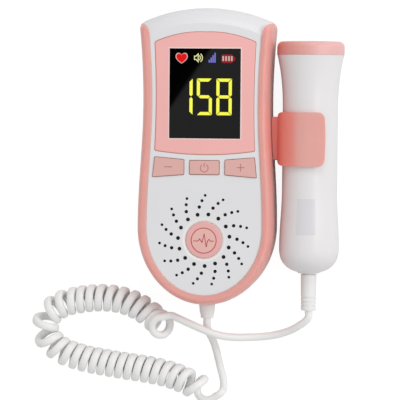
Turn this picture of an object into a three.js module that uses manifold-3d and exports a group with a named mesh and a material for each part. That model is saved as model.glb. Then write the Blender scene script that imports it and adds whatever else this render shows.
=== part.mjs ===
// Fetal doppler monitor: a flat handset with a screen, three keys and a loudspeaker, a clip on its right side
// that holds the probe, and a curly cord from the handset's lower end to the probe.
// Millimetres, +Z up. The handset lies on its back, its face up, +Y towards its top, +X towards the probe.
import * as THREE from "three";
import { mergeVertices } from "three/addons/utils/BufferGeometryUtils.js";
import Module from "manifold-3d";

const wasm = await Module();
wasm.setup();

// Clearances and cuts
const seat = 0.3; // between a piece and what carries it
const overrun = 4; // how far a cut runs past what it cuts

// Case outline, seen from the front
const lowerSwell = 2.3; // of the half-width, from the waist to the start of the round lower end
const shoulderSwell = 1.9; // of the half-width, from the waist to the shoulders
const lowerCurve = 36; // height of the round lower end
const waistDrop = 43.3; // from the top of the case down to the waist
const shoulderDrop = 8; // from the top of the case down to the shoulder's widest place
const archRadius = 73;
const topSlope = 7.5; // length of the sloping upper end
const cornerRound = 3.2;
const cornerRoundLeast = 0.9;
const [lowerSteps, sideSteps, cornerSteps, archSteps] = [11, 9, 3, 5];
const cornerPasses = 3; // of finding where the arch meets the side

// Case depth
const backRound = 5;
const backSteps = 3;
const rimRise = 10; // height of the rounded rim
const rimSteps = 4;
const railWidth = 5.1;
const railCrestShare = 0.56; // of the rail's width, where its ridge runs
const railFall = 0.5; // from the ridge down to the rail's inner edge
const faceDrop = 0.8; // from the ridge down to the white face
const skirtDeep = 7.2; // of the front half's skirt, inside the rear half
const rearWall = 2.2;
const skirtWall = 1.2;
const topWall = 2.2;
const facePlate = 2;
const flareDrop = 17; // from the top of the case down to where the rails start to lean outwards
const flareReach = 6;
const flareHeight = 10;

// Panel round the screen
const panelMargin = 1.9; // from the rail to the panel, at the waist
const panelTopSwell = 0.8;
const panelFootSwell = 0.6;
const panelTopDrop = 15.9;
const panelCrownDrop = 11.3;
const panelFootRim = 5.6; // from the screen down to the panel's lower edge
const panelBow = 1.8;
const panelCorner = 1;
const panelPocket = 1.2;
const panelProud = 0.2;
const panelSteps = 8;

// Screen
const screenWide = 32.6;
const screenHigh = 41;
const screenDrop = 18.8; // from the top of the case down to the screen's upper edge
const lensProud = 0.3;
const lensLedge = 1;
const moduleMargin = 1.2;
const moduleThick = 3;

// Keys
const keyGap = 0.4;
const keyInner = 9.5;
const keyMargin = 1.4; // from the rail to the outer keys
const keyFlare = 1; // how far the outer keys widen downwards
const keysBelowPanel = 3.1; // from the panel's lower edge down to the outer keys
const keyOuterHigh = 9.1;
const keyInnerStep = 1.2; // how much lower the outer keys' inner ends start
const keyInnerHigh = 6.7;
const powerHalf = 6.75;
const powerStep = 0.3; // from the outer keys' inner ends down to the middle key
const powerHigh = 6.3;
const keyCorner = 0.7;
const keyCornerSteps = 2;
const keyProud = 0.7;
const keyEdge = 0.35;
const keyFlange = 1.1;
const keyFlangeReach = 0.8;
const keyTravel = 0.8;
const domeSlack = 0.15;
const domeRadius = 2.2;
const matThick = 1;
const matMargin = 0.9;
const matReach = 1.2;

// Loudspeaker and its grille
const badgeRadius = 8.35;
const ringRadius = 9.7;
const speakerRise = 30.25; // from the case's lower end up to the speaker's middle
const keysToSpeaker = 29.15; // from the keys' lower edge down to the speaker's middle
const badgeProud = 0.9;
const badgeDish = 0.4;
const ringDeep = 0.7;
const grilleArms = 15;
const grilleFirstAngle = 104.3;
const grilleCircles = [11.95, 15.3, 18.1, 20.55];
const grilleHoles = [0.8, 0.68, 0.57, 0.48];
const grilleTurns = [0, -6, -11.2, -15.6];
const grilleSides = 6;
const speakerRadius = 19;
const speakerFlange = 1.5;
const speakerDeep = 7;
const speakerLift = 0.6; // over the battery bay
const magnetRadius = 9;
const magnetDeep = 3;

// Battery bay, cells and door
const cellRadius = 7.1;
const cellLength = 50.5;
const nubLength = 1;
const nubRadius = 2.7;
const cellSides = 20;
const cellGap = 1;
const cellLift = 0.8; // from the door up to the cells
const springLength = 4.5;
const springRadius = 3.3;
const springWire = 0.4;
const springTurns = 2.5;
const contactThick = 0.4;
const contactWide = 11;
const contactHigh = 10;
const bayWall = 1.6;
const bayRise = 12.2; // from the case's lower end up to the bay
const doorThick = 2.1;
const doorLip = 1;
const doorTongue = 12;
const doorMargin = 1;
const padWall = 1.5;

// Case screws
const screwRoom = 1.4; // from the battery door to the upper and lower screws' wells
const sideRoom = 8.4; // from the screws' middles to the side of the case at its waist
const upperScrewDrop = 22.1;
const speakerRoom = 2.85; // from the loudspeaker to the posts of the lower screws
const screwHead = 2.7;
const screwHeadThick = 1.4;
const screwShank = 1.2;
const screwLength = 12;
const wellWall = 1.6;
const wellSides = 16;
const boreSides = 12;
const wellDeep = 5.5;
const wellFloor = 2.2;
const bossRadius = 3.2;

// Board
const boardThick = 1.6;
const boardLift = 0.5;
const boardMargin = 0.5; // past the keypad mat
const boardTopDrop = 21.6;
const boardRoom = 2.65; // from the board to the loudspeaker
const boardStepLift = 3.4; // from the keys up to where the board narrows
const chipSide = 9;
const chipThick = 1.2;

// Cord boot on the case
const bootDrop = 2; // from the parting line down to the boot's flange
const bootShown = 6.9;
const bootRoot = 3.7;
const bootTip = 2.95;
const bootNeckStep = 0.5;
const bootFlangeRim = 1.3;
const bootFlangeThick = 1.5;
const bootSides = 16;

// Probe
const headGap = 0.7; // from the handset's side to the probe's head
const tableGap = 1.1; // from the table up to the probe's head
const probeTopDrop = 15.1; // from the top of the case down to the probe's head
const headRadius = 15.5;
const headBevel = 1.7;
const headRound = 3;
const headSteps = 3;
const capLength = 6.2;
const capProud = 0.15;
const headFlare = 2.8; // of the head past the barrel
const flareLength = 25.5;
const flarePower = 2.3;
const flareSteps = 5;
const barrelLength = 35.9;
const tailSwell = 1.1;
const tailLength = 27.6;
const tailRound = 11.5; // length of the rounded tail end
const tailPower = 2.4;
const tailFlat = 5;
const tailSteps = 6;
const tailRoundShares = [0.3, 0.52, 0.7, 0.84, 0.94, 1];
const probeWall = 2;
const capSpigot = 2.8;
const faceRim = 1.65; // of the cap, round the probe's face
const faceThick = 1.7;
const faceSunk = 0.2;
const faceLedge = 1.5;
const crystalMargin = 3.4;
const crystalThick = 1;
const crystalGap = 0.8;
const crystalSides = 24;
const probeBoardLift = 7.7; // how far the board reaches into the flare
const probeBoardLength = 44;
const probeBoardGap = 0.55; // from the board's edges to the probe's wall
const latheSides = 32;

// Ribbed sleeve where the cord leaves the probe
const sleeveLength = 17.3;
const sleeveRoot = 3.6;
const sleeveTip = 3.15;
const sleeveSmooth = 9.6;
const sleeveRibs = 3;
const sleeveGroove = 0.5;
const sleeveFlangeRim = 1.8;
const sleeveFlangeThick = 1.5;
const sleeveSides = 16;

// Clip
const clipWall = 2;
const clipHigh = 24.6;
const clipBelowFlare = 13; // from the end of the flare down to the clip's middle
const clipReach = 8.2; // of its arms past the probe's axis
const clipCorner = 4;
const clipBulge = 0.6;
const clipSteps = 12;
const clipCornerSteps = 4;
const neckHigh = 20;
const neckDeep = 13;
const tenonHigh = 14;
const tenonDeep = 5;

// Cord
const cordDiameter = 3.5;
const curlRadius = 4.8; // to the cord's centre
const curlTurns = 31.1;
const curlSteps = 8;
const curlSides = 5;
const curlStart = 225;
const bendShare = 1; // how strongly a bend of the middle line spreads the turns
const leastPaceShare = 0.22;
const leadSides = 8;
const lineSteps = 3000; // of the curl's middle line
const leadStep = 2.3; // diameters
// The curl's middle line, from the handset's end to the probe's
const curlRoute = [
  [-0.4, -110.5, 3.3], [-1.3, -110.2, 5.6], [-3.3, -109.2, 8], [-6.4, -107.5, 9.2], [-12.4, -104.9, 8.4],
  [-20.9, -102.5, 7], [-31.2, -100.7, 6.8], [-40.9, -99.4, 6.8], [-50.7, -97.9, 6.8], [-60.5, -96, 6.8],
  [-70.6, -92.3, 6.8], [-77.3, -85.3, 6.8], [-76.4, -76.3, 6.8], [-69.3, -70.7, 6.8], [-61.3, -68.6, 6.8],
  [-53.3, -67.6, 6.8], [-45.8, -67.7, 6.8], [-38.8, -69.1, 6.8], [-32.3, -71.9, 6.8], [-27.3, -75.2, 7.2],
  [-24, -77.5, 9.4], [-21.6, -79.1, 12.6], [-20.6, -79.8, 16],
];
// The free cord from the boot down onto the table and to the curl
const monitorLeadRoute = [
  [0.5, -81.6, 11.3], [1, -83.8, 8.5], [1.6, -85.8, 5.4], [2.3, -88.3, 3.2], [3.2, -91.4, 2.1],
  [4.2, -95.4, 1.9], [5.4, -100.2, 1.9], [6.5, -104.2, 2], [7, -107.4, 2.2], [6.9, -109.7, 2.5],
];
// The free cord from the curl over the other lead and up to the probe
const probeLeadRoute = [
  [-12.8, -75.6, 17.4], [-7.9, -77.7, 17.6], [-2.8, -79.9, 17.4], [2.3, -82, 16.4], [7.3, -83.6, 14.4],
  [12.9, -84.4, 12], [18.8, -84.5, 10], [25.2, -84.2, 9.2], [31.8, -83.1, 9.9], [37.8, -81.1, 11.8],
  [42.8, -78.3, 14.4],
];

// Places worked out from the sizes
const panelFootDrop = screenDrop + screenHigh + panelFootRim;
const keyOuterTopDrop = panelFootDrop + keysBelowPanel;
const keyOuterFootDrop = keyOuterTopDrop + keyOuterHigh;
const keyInnerTopDrop = keyOuterTopDrop + keyInnerStep;
const keyInnerFootDrop = keyInnerTopDrop + keyInnerHigh;
const powerTopDrop = keyInnerTopDrop + powerStep;
const powerFootDrop = powerTopDrop + powerHigh;
const cellSpacing = 2 * cellRadius + cellGap;
const bayHalf = (cellSpacing + 2 * cellRadius + 2 * seat) / 2;
const doorHalf = bayHalf + doorMargin + seat;
const screwHalf = doorHalf + seat + screwRoom + screwHead + seat;
const halfWaist = screwHalf + sideRoom;
const halfWide = halfWaist + lowerSwell;
const halfShoulder = halfWaist + shoulderSwell;
const caseLength = keyOuterFootDrop + keysToSpeaker + speakerRise;
const topY = caseLength / 2;
const footY = -caseLength / 2;
const lowerY = footY + lowerCurve;
const waistY = topY - waistDrop;
const archY = topY - archRadius;
const doorTopZ = seat + doorThick;
const bayTopZ = doorTopZ + cellLift + 2 * cellRadius + seat;
const bayRoofZ = bayTopZ + bayWall;
const plateZ = bayRoofZ + speakerLift + speakerDeep + seat;
const faceZ = plateZ + facePlate;
const caseDepth = faceZ + faceDrop;
const pocketZ = faceZ - panelPocket;
const partingHeight = plateZ - skirtDeep;
const speakerY = footY + speakerRise;
const bayLength = cellLength + springLength + 2 * contactThick + 6 * seat;
const bayFootY = footY + bayRise;
const bayTopY = bayFootY + bayLength;
const panelWaistHalf = halfWaist - railWidth - panelMargin;
const panelTopHalf = panelWaistHalf + panelTopSwell;
const panelFootHalf = panelWaistHalf + panelFootSwell;
const keyOuterTop = halfWaist - railWidth - keyMargin;
const keyOuterFoot = keyOuterTop + keyFlare;
const matHalf = keyOuterTop - matMargin;
const boardZ = bayRoofZ + boardLift;
const boardTopZ = boardZ + boardThick;
const cellZ = doorTopZ + cellLift + cellRadius;
const bootNeck = bootRoot - bootNeckStep;
const bootFlange = bootRoot + bootFlangeRim;
const bootHeight = partingHeight - bootDrop - bootFlange;
const probeX = halfShoulder + headGap + headRadius;
const probeZ = headRadius + tableGap;
const headFlat = headRadius - headBevel;
const barrelRadius = headRadius - headFlare;
const flareRadius = headRadius - capProud;
const faceRadius = headFlat - faceRim;
const crystalRadius = faceRadius - crystalMargin;
const tailRadius = barrelRadius + tailSwell;
const flareEnd = capLength + flareLength;
const tailStart = flareEnd + barrelLength;
const tailWidest = tailStart + tailLength;
const probeLength = tailWidest + tailRound;
const probeBoardStart = flareEnd - probeBoardLift;
const probeBoardHalf = barrelRadius - probeWall - probeBoardGap;
const sleeveFlange = sleeveRoot + sleeveFlangeRim;
const probeY = topY - probeTopDrop;
const clipY = probeY - flareEnd - clipBelowFlare;
const cordRadius = cordDiameter / 2;

// Solids

function solidOf(geometry) {
  const bare = geometry.index ? geometry.toNonIndexed() : geometry.clone();
  for (const name of Object.keys(bare.attributes)) if (name !== "position") bare.deleteAttribute(name);
  const merged = mergeVertices(bare, 1e-4);
  const points = merged.attributes.position.array;
  const corners = Array.from(merged.index.array);
  const kept = [];
  let volume = 0;
  const [a, b, c] = [new THREE.Vector3(), new THREE.Vector3(), new THREE.Vector3()];
  for (let i = 0; i < corners.length; i += 3) {
    const [p, q, r] = corners.slice(i, i + 3);
    if (p === q || q === r || r === p) continue;
    a.fromArray(points, 3 * p);
    b.fromArray(points, 3 * q);
    c.fromArray(points, 3 * r);
    volume += a.dot(b.clone().cross(c));
    kept.push(p, q, r);
  }
  if (volume < 0) kept.reverse();
  return new wasm.Manifold(
    new wasm.Mesh({
      numProp: 3,
      vertProperties: new Float32Array(points),
      triVerts: new Uint32Array(kept),
    }),
  );
}

function meshOf(name, solid, material) {
  const made = solid.getMesh();
  const geometry = new THREE.BufferGeometry();
  geometry.setAttribute("position", new THREE.BufferAttribute(made.vertProperties, 3));
  geometry.setIndex(new THREE.BufferAttribute(made.triVerts, 1));
  const mesh = new THREE.Mesh(geometry, material);
  mesh.name = name;
  return mesh;
}

function join(solids) {
  return solids.reduce((whole, next) => whole.add(next));
}

function cut(solid, tools) {
  return tools.reduce((left, tool) => left.subtract(tool), solid);
}

function box(x0, x1, y0, y1, z0, z1) {
  const geometry = new THREE.BoxGeometry(x1 - x0, y1 - y0, z1 - z0);
  geometry.translate((x0 + x1) / 2, (y0 + y1) / 2, (z0 + z1) / 2);
  return solidOf(geometry);
}

function prism(points, z0, z1) {
  const shape = new THREE.Shape(points.map(([x, y]) => new THREE.Vector2(x, y)));
  const geometry = new THREE.ExtrudeGeometry(shape, { depth: z1 - z0, bevelEnabled: false });
  geometry.translate(0, 0, z0);
  return solidOf(geometry);
}

function post(radius, x, y, z0, z1, sides = wellSides) {
  const geometry = new THREE.CylinderGeometry(radius, radius, z1 - z0, sides);
  geometry.rotateX(Math.PI / 2);
  geometry.translate(x, y, (z0 + z1) / 2);
  return solidOf(geometry);
}

// A turned piece about an upright axis, from pairs of radius and height
function turned(profile, x, y, sides) {
  const geometry = new THREE.LatheGeometry(profile.map(([r, z]) => new THREE.Vector2(r, z)), sides);
  geometry.rotateX(Math.PI / 2);
  geometry.translate(x, y, 0);
  return solidOf(geometry);
}

// A turned piece about a line along Y, from pairs of radius and distance along -Y
function turnedAlong(profile, sides) {
  const points = profile.map(([r, s]) => new THREE.Vector2(r, -s));
  return solidOf(new THREE.LatheGeometry(points, sides));
}

// A closed body through rings of the same number of points, each a list of [x, y] and a height
function loft(rings) {
  const count = rings[0].points.length;
  const positions = [];
  const faces = [];
  for (const ring of rings) for (const [x, y] of ring.points) positions.push(x, y, ring.z);
  for (let i = 0; i + 1 < rings.length; i++) {
    for (let j = 0; j < count; j++) {
      const k = (j + 1) % count;
      const [a, b, c, d] = [i * count + j, i * count + k, (i + 1) * count + k, (i + 1) * count + j];
      faces.push(a, b, c, a, c, d);
    }
  }
  const flat = rings[0].points.map(([x, y]) => new THREE.Vector2(x, y));
  const last = (rings.length - 1) * count;
  for (const [a, b, c] of THREE.ShapeUtils.triangulateShape(flat, [])) faces.push(c, b, a);
  const top = rings[rings.length - 1].points.map(([x, y]) => new THREE.Vector2(x, y));
  for (const [a, b, c] of THREE.ShapeUtils.triangulateShape(top, [])) {
    faces.push(last + a, last + b, last + c);
  }
  const geometry = new THREE.BufferGeometry();
  geometry.setAttribute("position", new THREE.Float32BufferAttribute(positions, 3));
  geometry.setIndex(faces);
  return solidOf(geometry);
}

// A tube of flat faces along a list of points, with both ends closed
function tubeThrough(points, radius, sides) {
  const positions = [];
  const faces = [];
  const along = (i) => {
    const before = points[Math.max(i - 1, 0)];
    const after = points[Math.min(i + 1, points.length - 1)];
    return after.clone().sub(before).normalize();
  };
  let direction = along(0);
  let side = new THREE.Vector3(0, 0, 1).cross(direction).normalize();
  points.forEach((point, i) => {
    const next = along(i);
    side.applyQuaternion(new THREE.Quaternion().setFromUnitVectors(direction, next));
    side.addScaledVector(next, -side.dot(next)).normalize();
    direction = next;
    const across = direction.clone().cross(side);
    for (let k = 0; k < sides; k++) {
      const turn = (2 * Math.PI * k) / sides;
      const at = point.clone();
      at.addScaledVector(side, radius * Math.cos(turn)).addScaledVector(across, radius * Math.sin(turn));
      positions.push(at.x, at.y, at.z);
    }
  });
  for (let i = 0; i + 1 < points.length; i++) {
    for (let k = 0; k < sides; k++) {
      const m = (k + 1) % sides;
      const [a, b, c, d] = [i * sides + k, i * sides + m, (i + 1) * sides + m, (i + 1) * sides + k];
      faces.push(a, b, c, a, c, d);
    }
  }
  const last = (points.length - 1) * sides;
  for (let k = 1; k + 1 < sides; k++) {
    faces.push(0, k + 1, k);
    faces.push(last, last + k, last + k + 1);
  }
  const geometry = new THREE.BufferGeometry();
  geometry.setAttribute("position", new THREE.Float32BufferAttribute(positions, 3));
  geometry.setIndex(faces);
  return solidOf(geometry);
}

function vectorsOf(route) {
  return route.map(([x, y, z]) => new THREE.Vector3(x, y, z));
}

function bezier(from, handle, to, steps) {
  const curve = new THREE.QuadraticBezierCurve(
    new THREE.Vector2(...from),
    new THREE.Vector2(...handle),
    new THREE.Vector2(...to),
  );
  return curve.getPoints(steps).map((p) => [p.x, p.y]);
}

function mirrored(right) {
  const left = right.filter(([x]) => x !== 0).map(([x, y]) => [-x, y]);
  return right.concat(left.reverse());
}

// Case outline

function halfWidth(y) {
  if (y < waistY) {
    const share = (y - lowerY) / (waistY - lowerY);
    return halfWaist + ((halfWide - halfWaist) * (1 + Math.cos(Math.PI * share))) / 2;
  }
  const share = (y - waistY) / (topY - shoulderDrop - waistY);
  return halfWaist + (halfShoulder - halfWaist) * share * share;
}

function lowerRight(inset) {
  const points = [];
  for (let i = 0; i <= lowerSteps; i++) {
    const turn = (Math.PI / 2) * (i / lowerSteps - 1);
    const x = i === 0 ? 0 : (halfWide - inset) * Math.cos(turn);
    points.push([x, lowerY + (lowerCurve - inset) * Math.sin(turn)]);
  }
  return points;
}

function archPoint(x, inset) {
  return [x, archY + Math.sqrt((archRadius - inset) ** 2 - x * x)];
}

function caseOutline(inset, topInset) {
  const right = lowerRight(inset);
  let corner = archPoint(halfShoulder - inset, topInset);
  for (let i = 0; i < cornerPasses; i++) corner = archPoint(halfWidth(corner[1]) - inset, topInset);
  const round = Math.max(cornerRound - inset, cornerRoundLeast);
  const sideEnd = corner[1] - round;
  for (let i = 1; i <= sideSteps; i++) {
    const y = lowerY + ((sideEnd - lowerY) * i) / sideSteps;
    right.push([halfWidth(y) - inset, y]);
  }
  const archStart = archPoint(corner[0] - round, topInset);
  right.push(...bezier([halfWidth(sideEnd) - inset, sideEnd], corner, archStart, cornerSteps).slice(1));
  for (let i = 1; i <= archSteps; i++) {
    right.push(archPoint(archStart[0] * (1 - i / archSteps), topInset));
  }
  return mirrored(right);
}

// Outline of the white face: inside the rails, then leaning out and running past the top of the case
function faceOutline(grow) {
  const inset = railWidth - grow;
  const right = lowerRight(inset);
  const flareY = topY - flareDrop;
  for (let i = 1; i <= sideSteps; i++) {
    const y = lowerY + ((flareY - lowerY) * i) / sideSteps;
    right.push([halfWidth(y) - inset, y]);
  }
  const start = right[right.length - 1];
  const end = [start[0] + flareReach, flareY + flareHeight];
  right.push(...bezier(start, [start[0], end[1]], end, archSteps).slice(1));
  right.push([end[0], topY + overrun], [0, topY + overrun]);
  return mirrored(right);
}

// Rounded rim from the side of the case up to its ridge, and the round edge round the back
function rimRings(crest, height) {
  const rings = [];
  for (let i = 0; i <= rimSteps; i++) {
    const turn = (Math.PI / 2) * (i / rimSteps);
    const share = 1 - Math.cos(turn);
    rings.push({
      points: caseOutline(crest * share, ((topSlope * crest) / railWidth) * share),
      z: height - rimRise + rimRise * Math.sin(turn),
    });
  }
  return rings;
}

function caseLoft(rims) {
  const rings = [];
  for (let i = 0; i <= backSteps; i++) {
    const turn = (Math.PI / 2) * (i / backSteps);
    const inset = backRound * (1 - Math.sin(turn));
    rings.push({
      points: caseOutline(inset, inset),
      z: backRound * (1 - Math.cos(turn)),
    });
  }
  return loft(rings.concat(rims));
}

function rearOuter() {
  const rims = rimRings(railWidth * railCrestShare, caseDepth);
  rims.push({ points: caseOutline(railWidth + seat, topSlope + seat), z: caseDepth - railFall });
  return caseLoft(rims);
}

const lowerScrewY = speakerY + Math.sqrt((speakerRadius + bossRadius + speakerRoom) ** 2 - screwHalf ** 2);
const screwPlaces = [
  [-screwHalf, topY - upperScrewDrop],
  [screwHalf, topY - upperScrewDrop],
  [-screwHalf, lowerScrewY],
  [screwHalf, lowerScrewY],
];

// Door on the back: narrow with side tongues at its upper end, full width below
const doorTopY = bayTopY + doorMargin;
const doorStepY = doorTopY - doorTongue;

function doorShape(grow, base) {
  const half = doorHalf + grow;
  const lip = half - doorMargin - doorMargin / 2;
  const [top, topZ] = [doorTopY + grow, doorTopZ + grow];
  return [
    box(-half, half, footY - overrun, doorStepY + grow, base, topZ),
    box(-lip, lip, doorStepY - seat, top, base, topZ),
    box(-half, half, doorStepY - seat, top, seat + doorLip - grow, topZ),
  ];
}

// Rear half of the case, with the rails, the battery bay and the screw wells
function rearShell() {
  const cavity = prism(caseOutline(rearWall, rearWall), rearWall, partingHeight);
  const padHalf = doorHalf + seat + padWall;
  const pad = box(-padHalf, padHalf, footY - overrun, doorTopY + padWall, 0, doorTopZ + seat + padWall);
  const bay = box(
    -bayHalf - bayWall, bayHalf + bayWall, bayFootY - bayWall, bayTopY + bayWall, 0, bayRoofZ,
  );
  const wells = screwPlaces.map(([x, y]) =>
    post(screwHead + seat + wellWall, x, y, 0, wellDeep + wellFloor),
  );
  const room = cut(cavity, [pad, bay, ...wells]);
  const face = prism(faceOutline(seat), partingHeight - seat, caseDepth + overrun);
  const pocket = box(-bayHalf, bayHalf, bayFootY, bayTopY, -overrun, bayTopZ);
  const bores = screwPlaces.flatMap(([x, y]) => [
    post(screwHead + seat, x, y, -overrun, wellDeep),
    post(screwShank + seat, x, y, -overrun, wellDeep + wellFloor + overrun, boreSides),
  ]);
  const cordHole = solidOf(
    new THREE.CylinderGeometry(bootNeck + seat, bootNeck + seat, 2 * overrun, bootSides).translate(
      0, footY + overrun / 2, bootHeight,
    ),
  );
  const slot = box(
    halfWaist - rearWall - overrun, halfWide + overrun, clipY - tenonHigh / 2 - seat,
    clipY + tenonHigh / 2 + seat, tenonBase() - seat, tenonBase() + tenonDeep + seat,
  );
  return cut(rearOuter(), [room, face, pocket, ...doorShape(seat, -overrun), ...bores, cordHole, slot]);
}

function batteryDoor() {
  return rearOuter().intersect(join(doorShape(0, seat)));
}

// Panel and screen

function panelOutline(inset) {
  const top = topY - panelTopDrop - inset;
  const crown = topY - panelCrownDrop - inset;
  const foot = topY - panelFootDrop + inset;
  const middle = (top + foot) / 2;
  const low = foot - panelBow;
  const right = [[0, low]];
  const footHalf = panelFootHalf - inset;
  const topHalf = panelTopHalf - inset;
  const waist = panelWaistHalf - inset;
  const footArch = bezier([0, low], [footHalf / 2, low], [footHalf, foot], panelSteps / 2);
  right.push(...footArch.slice(1, -1));
  const beforeFoot = right[right.length - 1];
  const footShare = 1 - panelCorner / Math.hypot(footHalf - beforeFoot[0], foot - beforeFoot[1]);
  right.push([
    beforeFoot[0] + (footHalf - beforeFoot[0]) * footShare,
    beforeFoot[1] + (foot - beforeFoot[1]) * footShare,
  ]);
  const handle = [2 * waist - (footHalf + topHalf) / 2, middle];
  const side = bezier([footHalf, foot], handle, [topHalf, top], panelSteps);
  side[0] = [side[0][0] + (side[1][0] - side[0][0]) / panelSteps, foot + panelCorner];
  side[panelSteps] = [topHalf, top - panelCorner];
  right.push(...side);
  const archHandle = [topHalf / 2, crown + (crown - top) / panelSteps];
  const arch = bezier([topHalf, top], archHandle, [0, crown], panelSteps);
  const slope = (arch[1][1] - top) / (topHalf - arch[1][0]);
  arch[0] = [topHalf - panelCorner, top + panelCorner * slope];
  right.push(...arch);
  right[right.length - 1][0] = 0;
  return mirrored(right);
}

function screenBox(grow, z0, z1) {
  const top = topY - screenDrop;
  const half = screenWide / 2 + grow;
  return box(-half, half, top - screenHigh - grow, top + grow, z0, z1);
}

function displayBezel() {
  return prism(panelOutline(0), pocketZ + seat, faceZ + panelProud).subtract(
    screenBox(seat, pocketZ, faceZ + overrun),
  );
}

function displayModule() {
  const body = screenBox(moduleMargin, plateZ - seat - moduleThick, plateZ - seat);
  const glass = screenBox(-lensLedge - seat, plateZ - seat - moduleThick, pocketZ);
  return body.add(glass);
}

// Keys

function minusOutline(grow) {
  return [
    [-keyInner + grow, topY - keyInnerTopDrop + grow],
    [-keyOuterTop - grow, topY - keyOuterTopDrop + grow],
    [-keyOuterFoot - grow, topY - keyOuterFootDrop - grow],
    [-keyInner + grow, topY - keyInnerFootDrop - grow],
  ];
}

function powerOutline(grow) {
  const half = powerHalf + grow;
  const top = topY - powerTopDrop + grow;
  const foot = topY - powerFootDrop - grow;
  return [[half, top], [-half, top], [-half, foot], [half, foot]];
}

function plusOutline(grow) {
  return minusOutline(grow).map(([x, y]) => [-x, y]).reverse();
}

// An outline with each corner rounded
function softened(outline, radius) {
  return outline.flatMap((corner, i) => {
    const before = outline[(i + outline.length - 1) % outline.length];
    const after = outline[(i + 1) % outline.length];
    const toward = (other) => {
      const length = Math.hypot(other[0] - corner[0], other[1] - corner[1]);
      return [0, 1].map((k) => corner[k] + ((other[k] - corner[k]) * radius) / length);
    };
    return bezier(toward(before), corner, toward(after), keyCornerSteps);
  });
}

function key(outlineOf) {
  const top = faceZ + keyProud;
  const cap = loft([
    { points: softened(outlineOf(0), keyCorner), z: plateZ - seat - keyFlange },
    { points: softened(outlineOf(0), keyCorner), z: top - keyEdge },
    { points: softened(outlineOf(-keyEdge), keyCorner), z: top },
  ]);
  const corners = outlineOf(0);
  const xs = corners.map(([x]) => x);
  const ys = corners.map(([, y]) => y);
  const flange = box(
    Math.min(...xs), Math.max(...xs), Math.min(...ys) - keyGap - keyFlangeReach,
    Math.max(...ys) + keyGap + keyFlangeReach, plateZ - seat - keyFlange, plateZ - seat,
  );
  return cap.add(flange);
}

function keyMiddle(outlineOf) {
  const corners = outlineOf(0);
  return [0, 1].map((k) => corners.reduce((sum, corner) => sum + corner[k], 0) / corners.length);
}

function keypadMat() {
  const base = boardTopZ + seat;
  const foot = topY - keyOuterFootDrop - matReach;
  const top = topY - keyOuterTopDrop + matReach;
  const domes = [minusOutline, powerOutline, plusOutline].map((outlineOf) => {
    const [x, y] = keyMiddle(outlineOf);
    return post(domeRadius, x, y, base, plateZ - seat - keyFlange - keyTravel - domeSlack);
  });
  return join([box(-matHalf, matHalf, foot, top, base, base + matThick), ...domes]);
}

// Front half of the case

function grille() {
  return grilleCircles.flatMap((circle, i) =>
    Array.from({ length: grilleArms }, (_, arm) => {
      const turn = ((grilleFirstAngle + grilleTurns[i] + (360 * arm) / grilleArms) * Math.PI) / 180;
      const [x, y] = [circle * Math.cos(turn), speakerY + circle * Math.sin(turn)];
      return post(grilleHoles[i], x, y, plateZ - overrun, faceZ + overrun, grilleSides);
    }),
  );
}

function frontShell() {
  const rims = rimRings(railWidth, faceZ);
  const outer = caseLoft(rims).intersect(prism(faceOutline(0), partingHeight, caseDepth + overrun));
  const hollow = loft([
    { points: caseOutline(topWall, topWall), z: partingHeight - overrun },
    { points: caseOutline(topWall, topWall), z: partingHeight },
    { points: caseOutline(topWall, topSlope - topWall), z: plateZ },
  ]);
  const room = hollow.intersect(prism(faceOutline(-skirtWall), partingHeight - overrun, plateZ));
  const bosses = screwPlaces.map(([x, y]) => post(bossRadius, x, y, wellDeep + wellFloor + seat, plateZ));
  const shell = join([outer.subtract(room), ...bosses]);
  const tips = screwPlaces.map(([x, y]) =>
    post(screwShank + seat, x, y, 0, wellDeep + screwLength, boreSides),
  );
  const keyHoles = [minusOutline, powerOutline, plusOutline].map((outlineOf) =>
    prism(outlineOf(keyGap), plateZ - overrun, faceZ + overrun),
  );
  const dish = turned(
    [
      [0, faceZ - badgeProud - seat],
      [badgeRadius + seat, faceZ - badgeProud - seat],
      [badgeRadius + seat, faceZ - ringDeep],
      [ringRadius, faceZ],
      [ringRadius, faceZ + overrun],
      [0, faceZ + overrun],
    ],
    0, speakerY, latheSides,
  );
  return cut(shell, [
    prism(panelOutline(-seat), pocketZ, faceZ + overrun),
    screenBox(-lensLedge, plateZ - overrun, faceZ),
    ...keyHoles,
    dish,
    join(grille()),
    ...tips,
  ]);
}

function speakerBadge() {
  const foot = faceZ - badgeProud;
  return turned(
    [
      [0, foot],
      [badgeRadius, foot],
      [badgeRadius, faceZ],
      [badgeRadius - badgeDish, faceZ + badgeDish],
      [0, faceZ + badgeDish + badgeDish / 2],
    ],
    0, speakerY, latheSides,
  );
}

function speaker() {
  const top = plateZ - seat;
  return turned(
    [
      [0, top - speakerDeep],
      [magnetRadius, top - speakerDeep],
      [magnetRadius, top - speakerDeep + magnetDeep],
      [speakerRadius - speakerFlange, top - speakerFlange],
      [speakerRadius, top - speakerFlange],
      [speakerRadius, top],
      [speakerRadius - speakerFlange, top],
      [magnetRadius, top - speakerFlange],
      [0, top - speakerFlange],
    ],
    0, speakerY, latheSides,
  );
}

function mainBoard() {
  const head = topY - boardTopDrop;
  const step = topY - keyOuterTopDrop + boardStepLift;
  const foot = speakerY + speakerRadius + boardRoom;
  const boardHalfWide = matHalf + boardMargin;
  const boardHalfNarrow = screwHalf - bossRadius - seat;
  const board = prism(
    [
      [-boardHalfNarrow, head], [-boardHalfNarrow, step], [-boardHalfWide, step], [-boardHalfWide, foot],
      [boardHalfWide, foot], [boardHalfWide, step], [boardHalfNarrow, step], [boardHalfNarrow, head],
    ],
    boardZ, boardTopZ,
  );
  const chips = [-1, 1].map((side) =>
    box(
      side * chipSide - chipSide / 2, side * chipSide + chipSide / 2, step + chipSide, step + 2 * chipSide,
      boardZ - chipThick, boardTopZ,
    ),
  );
  return join([board, ...chips]);
}

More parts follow.
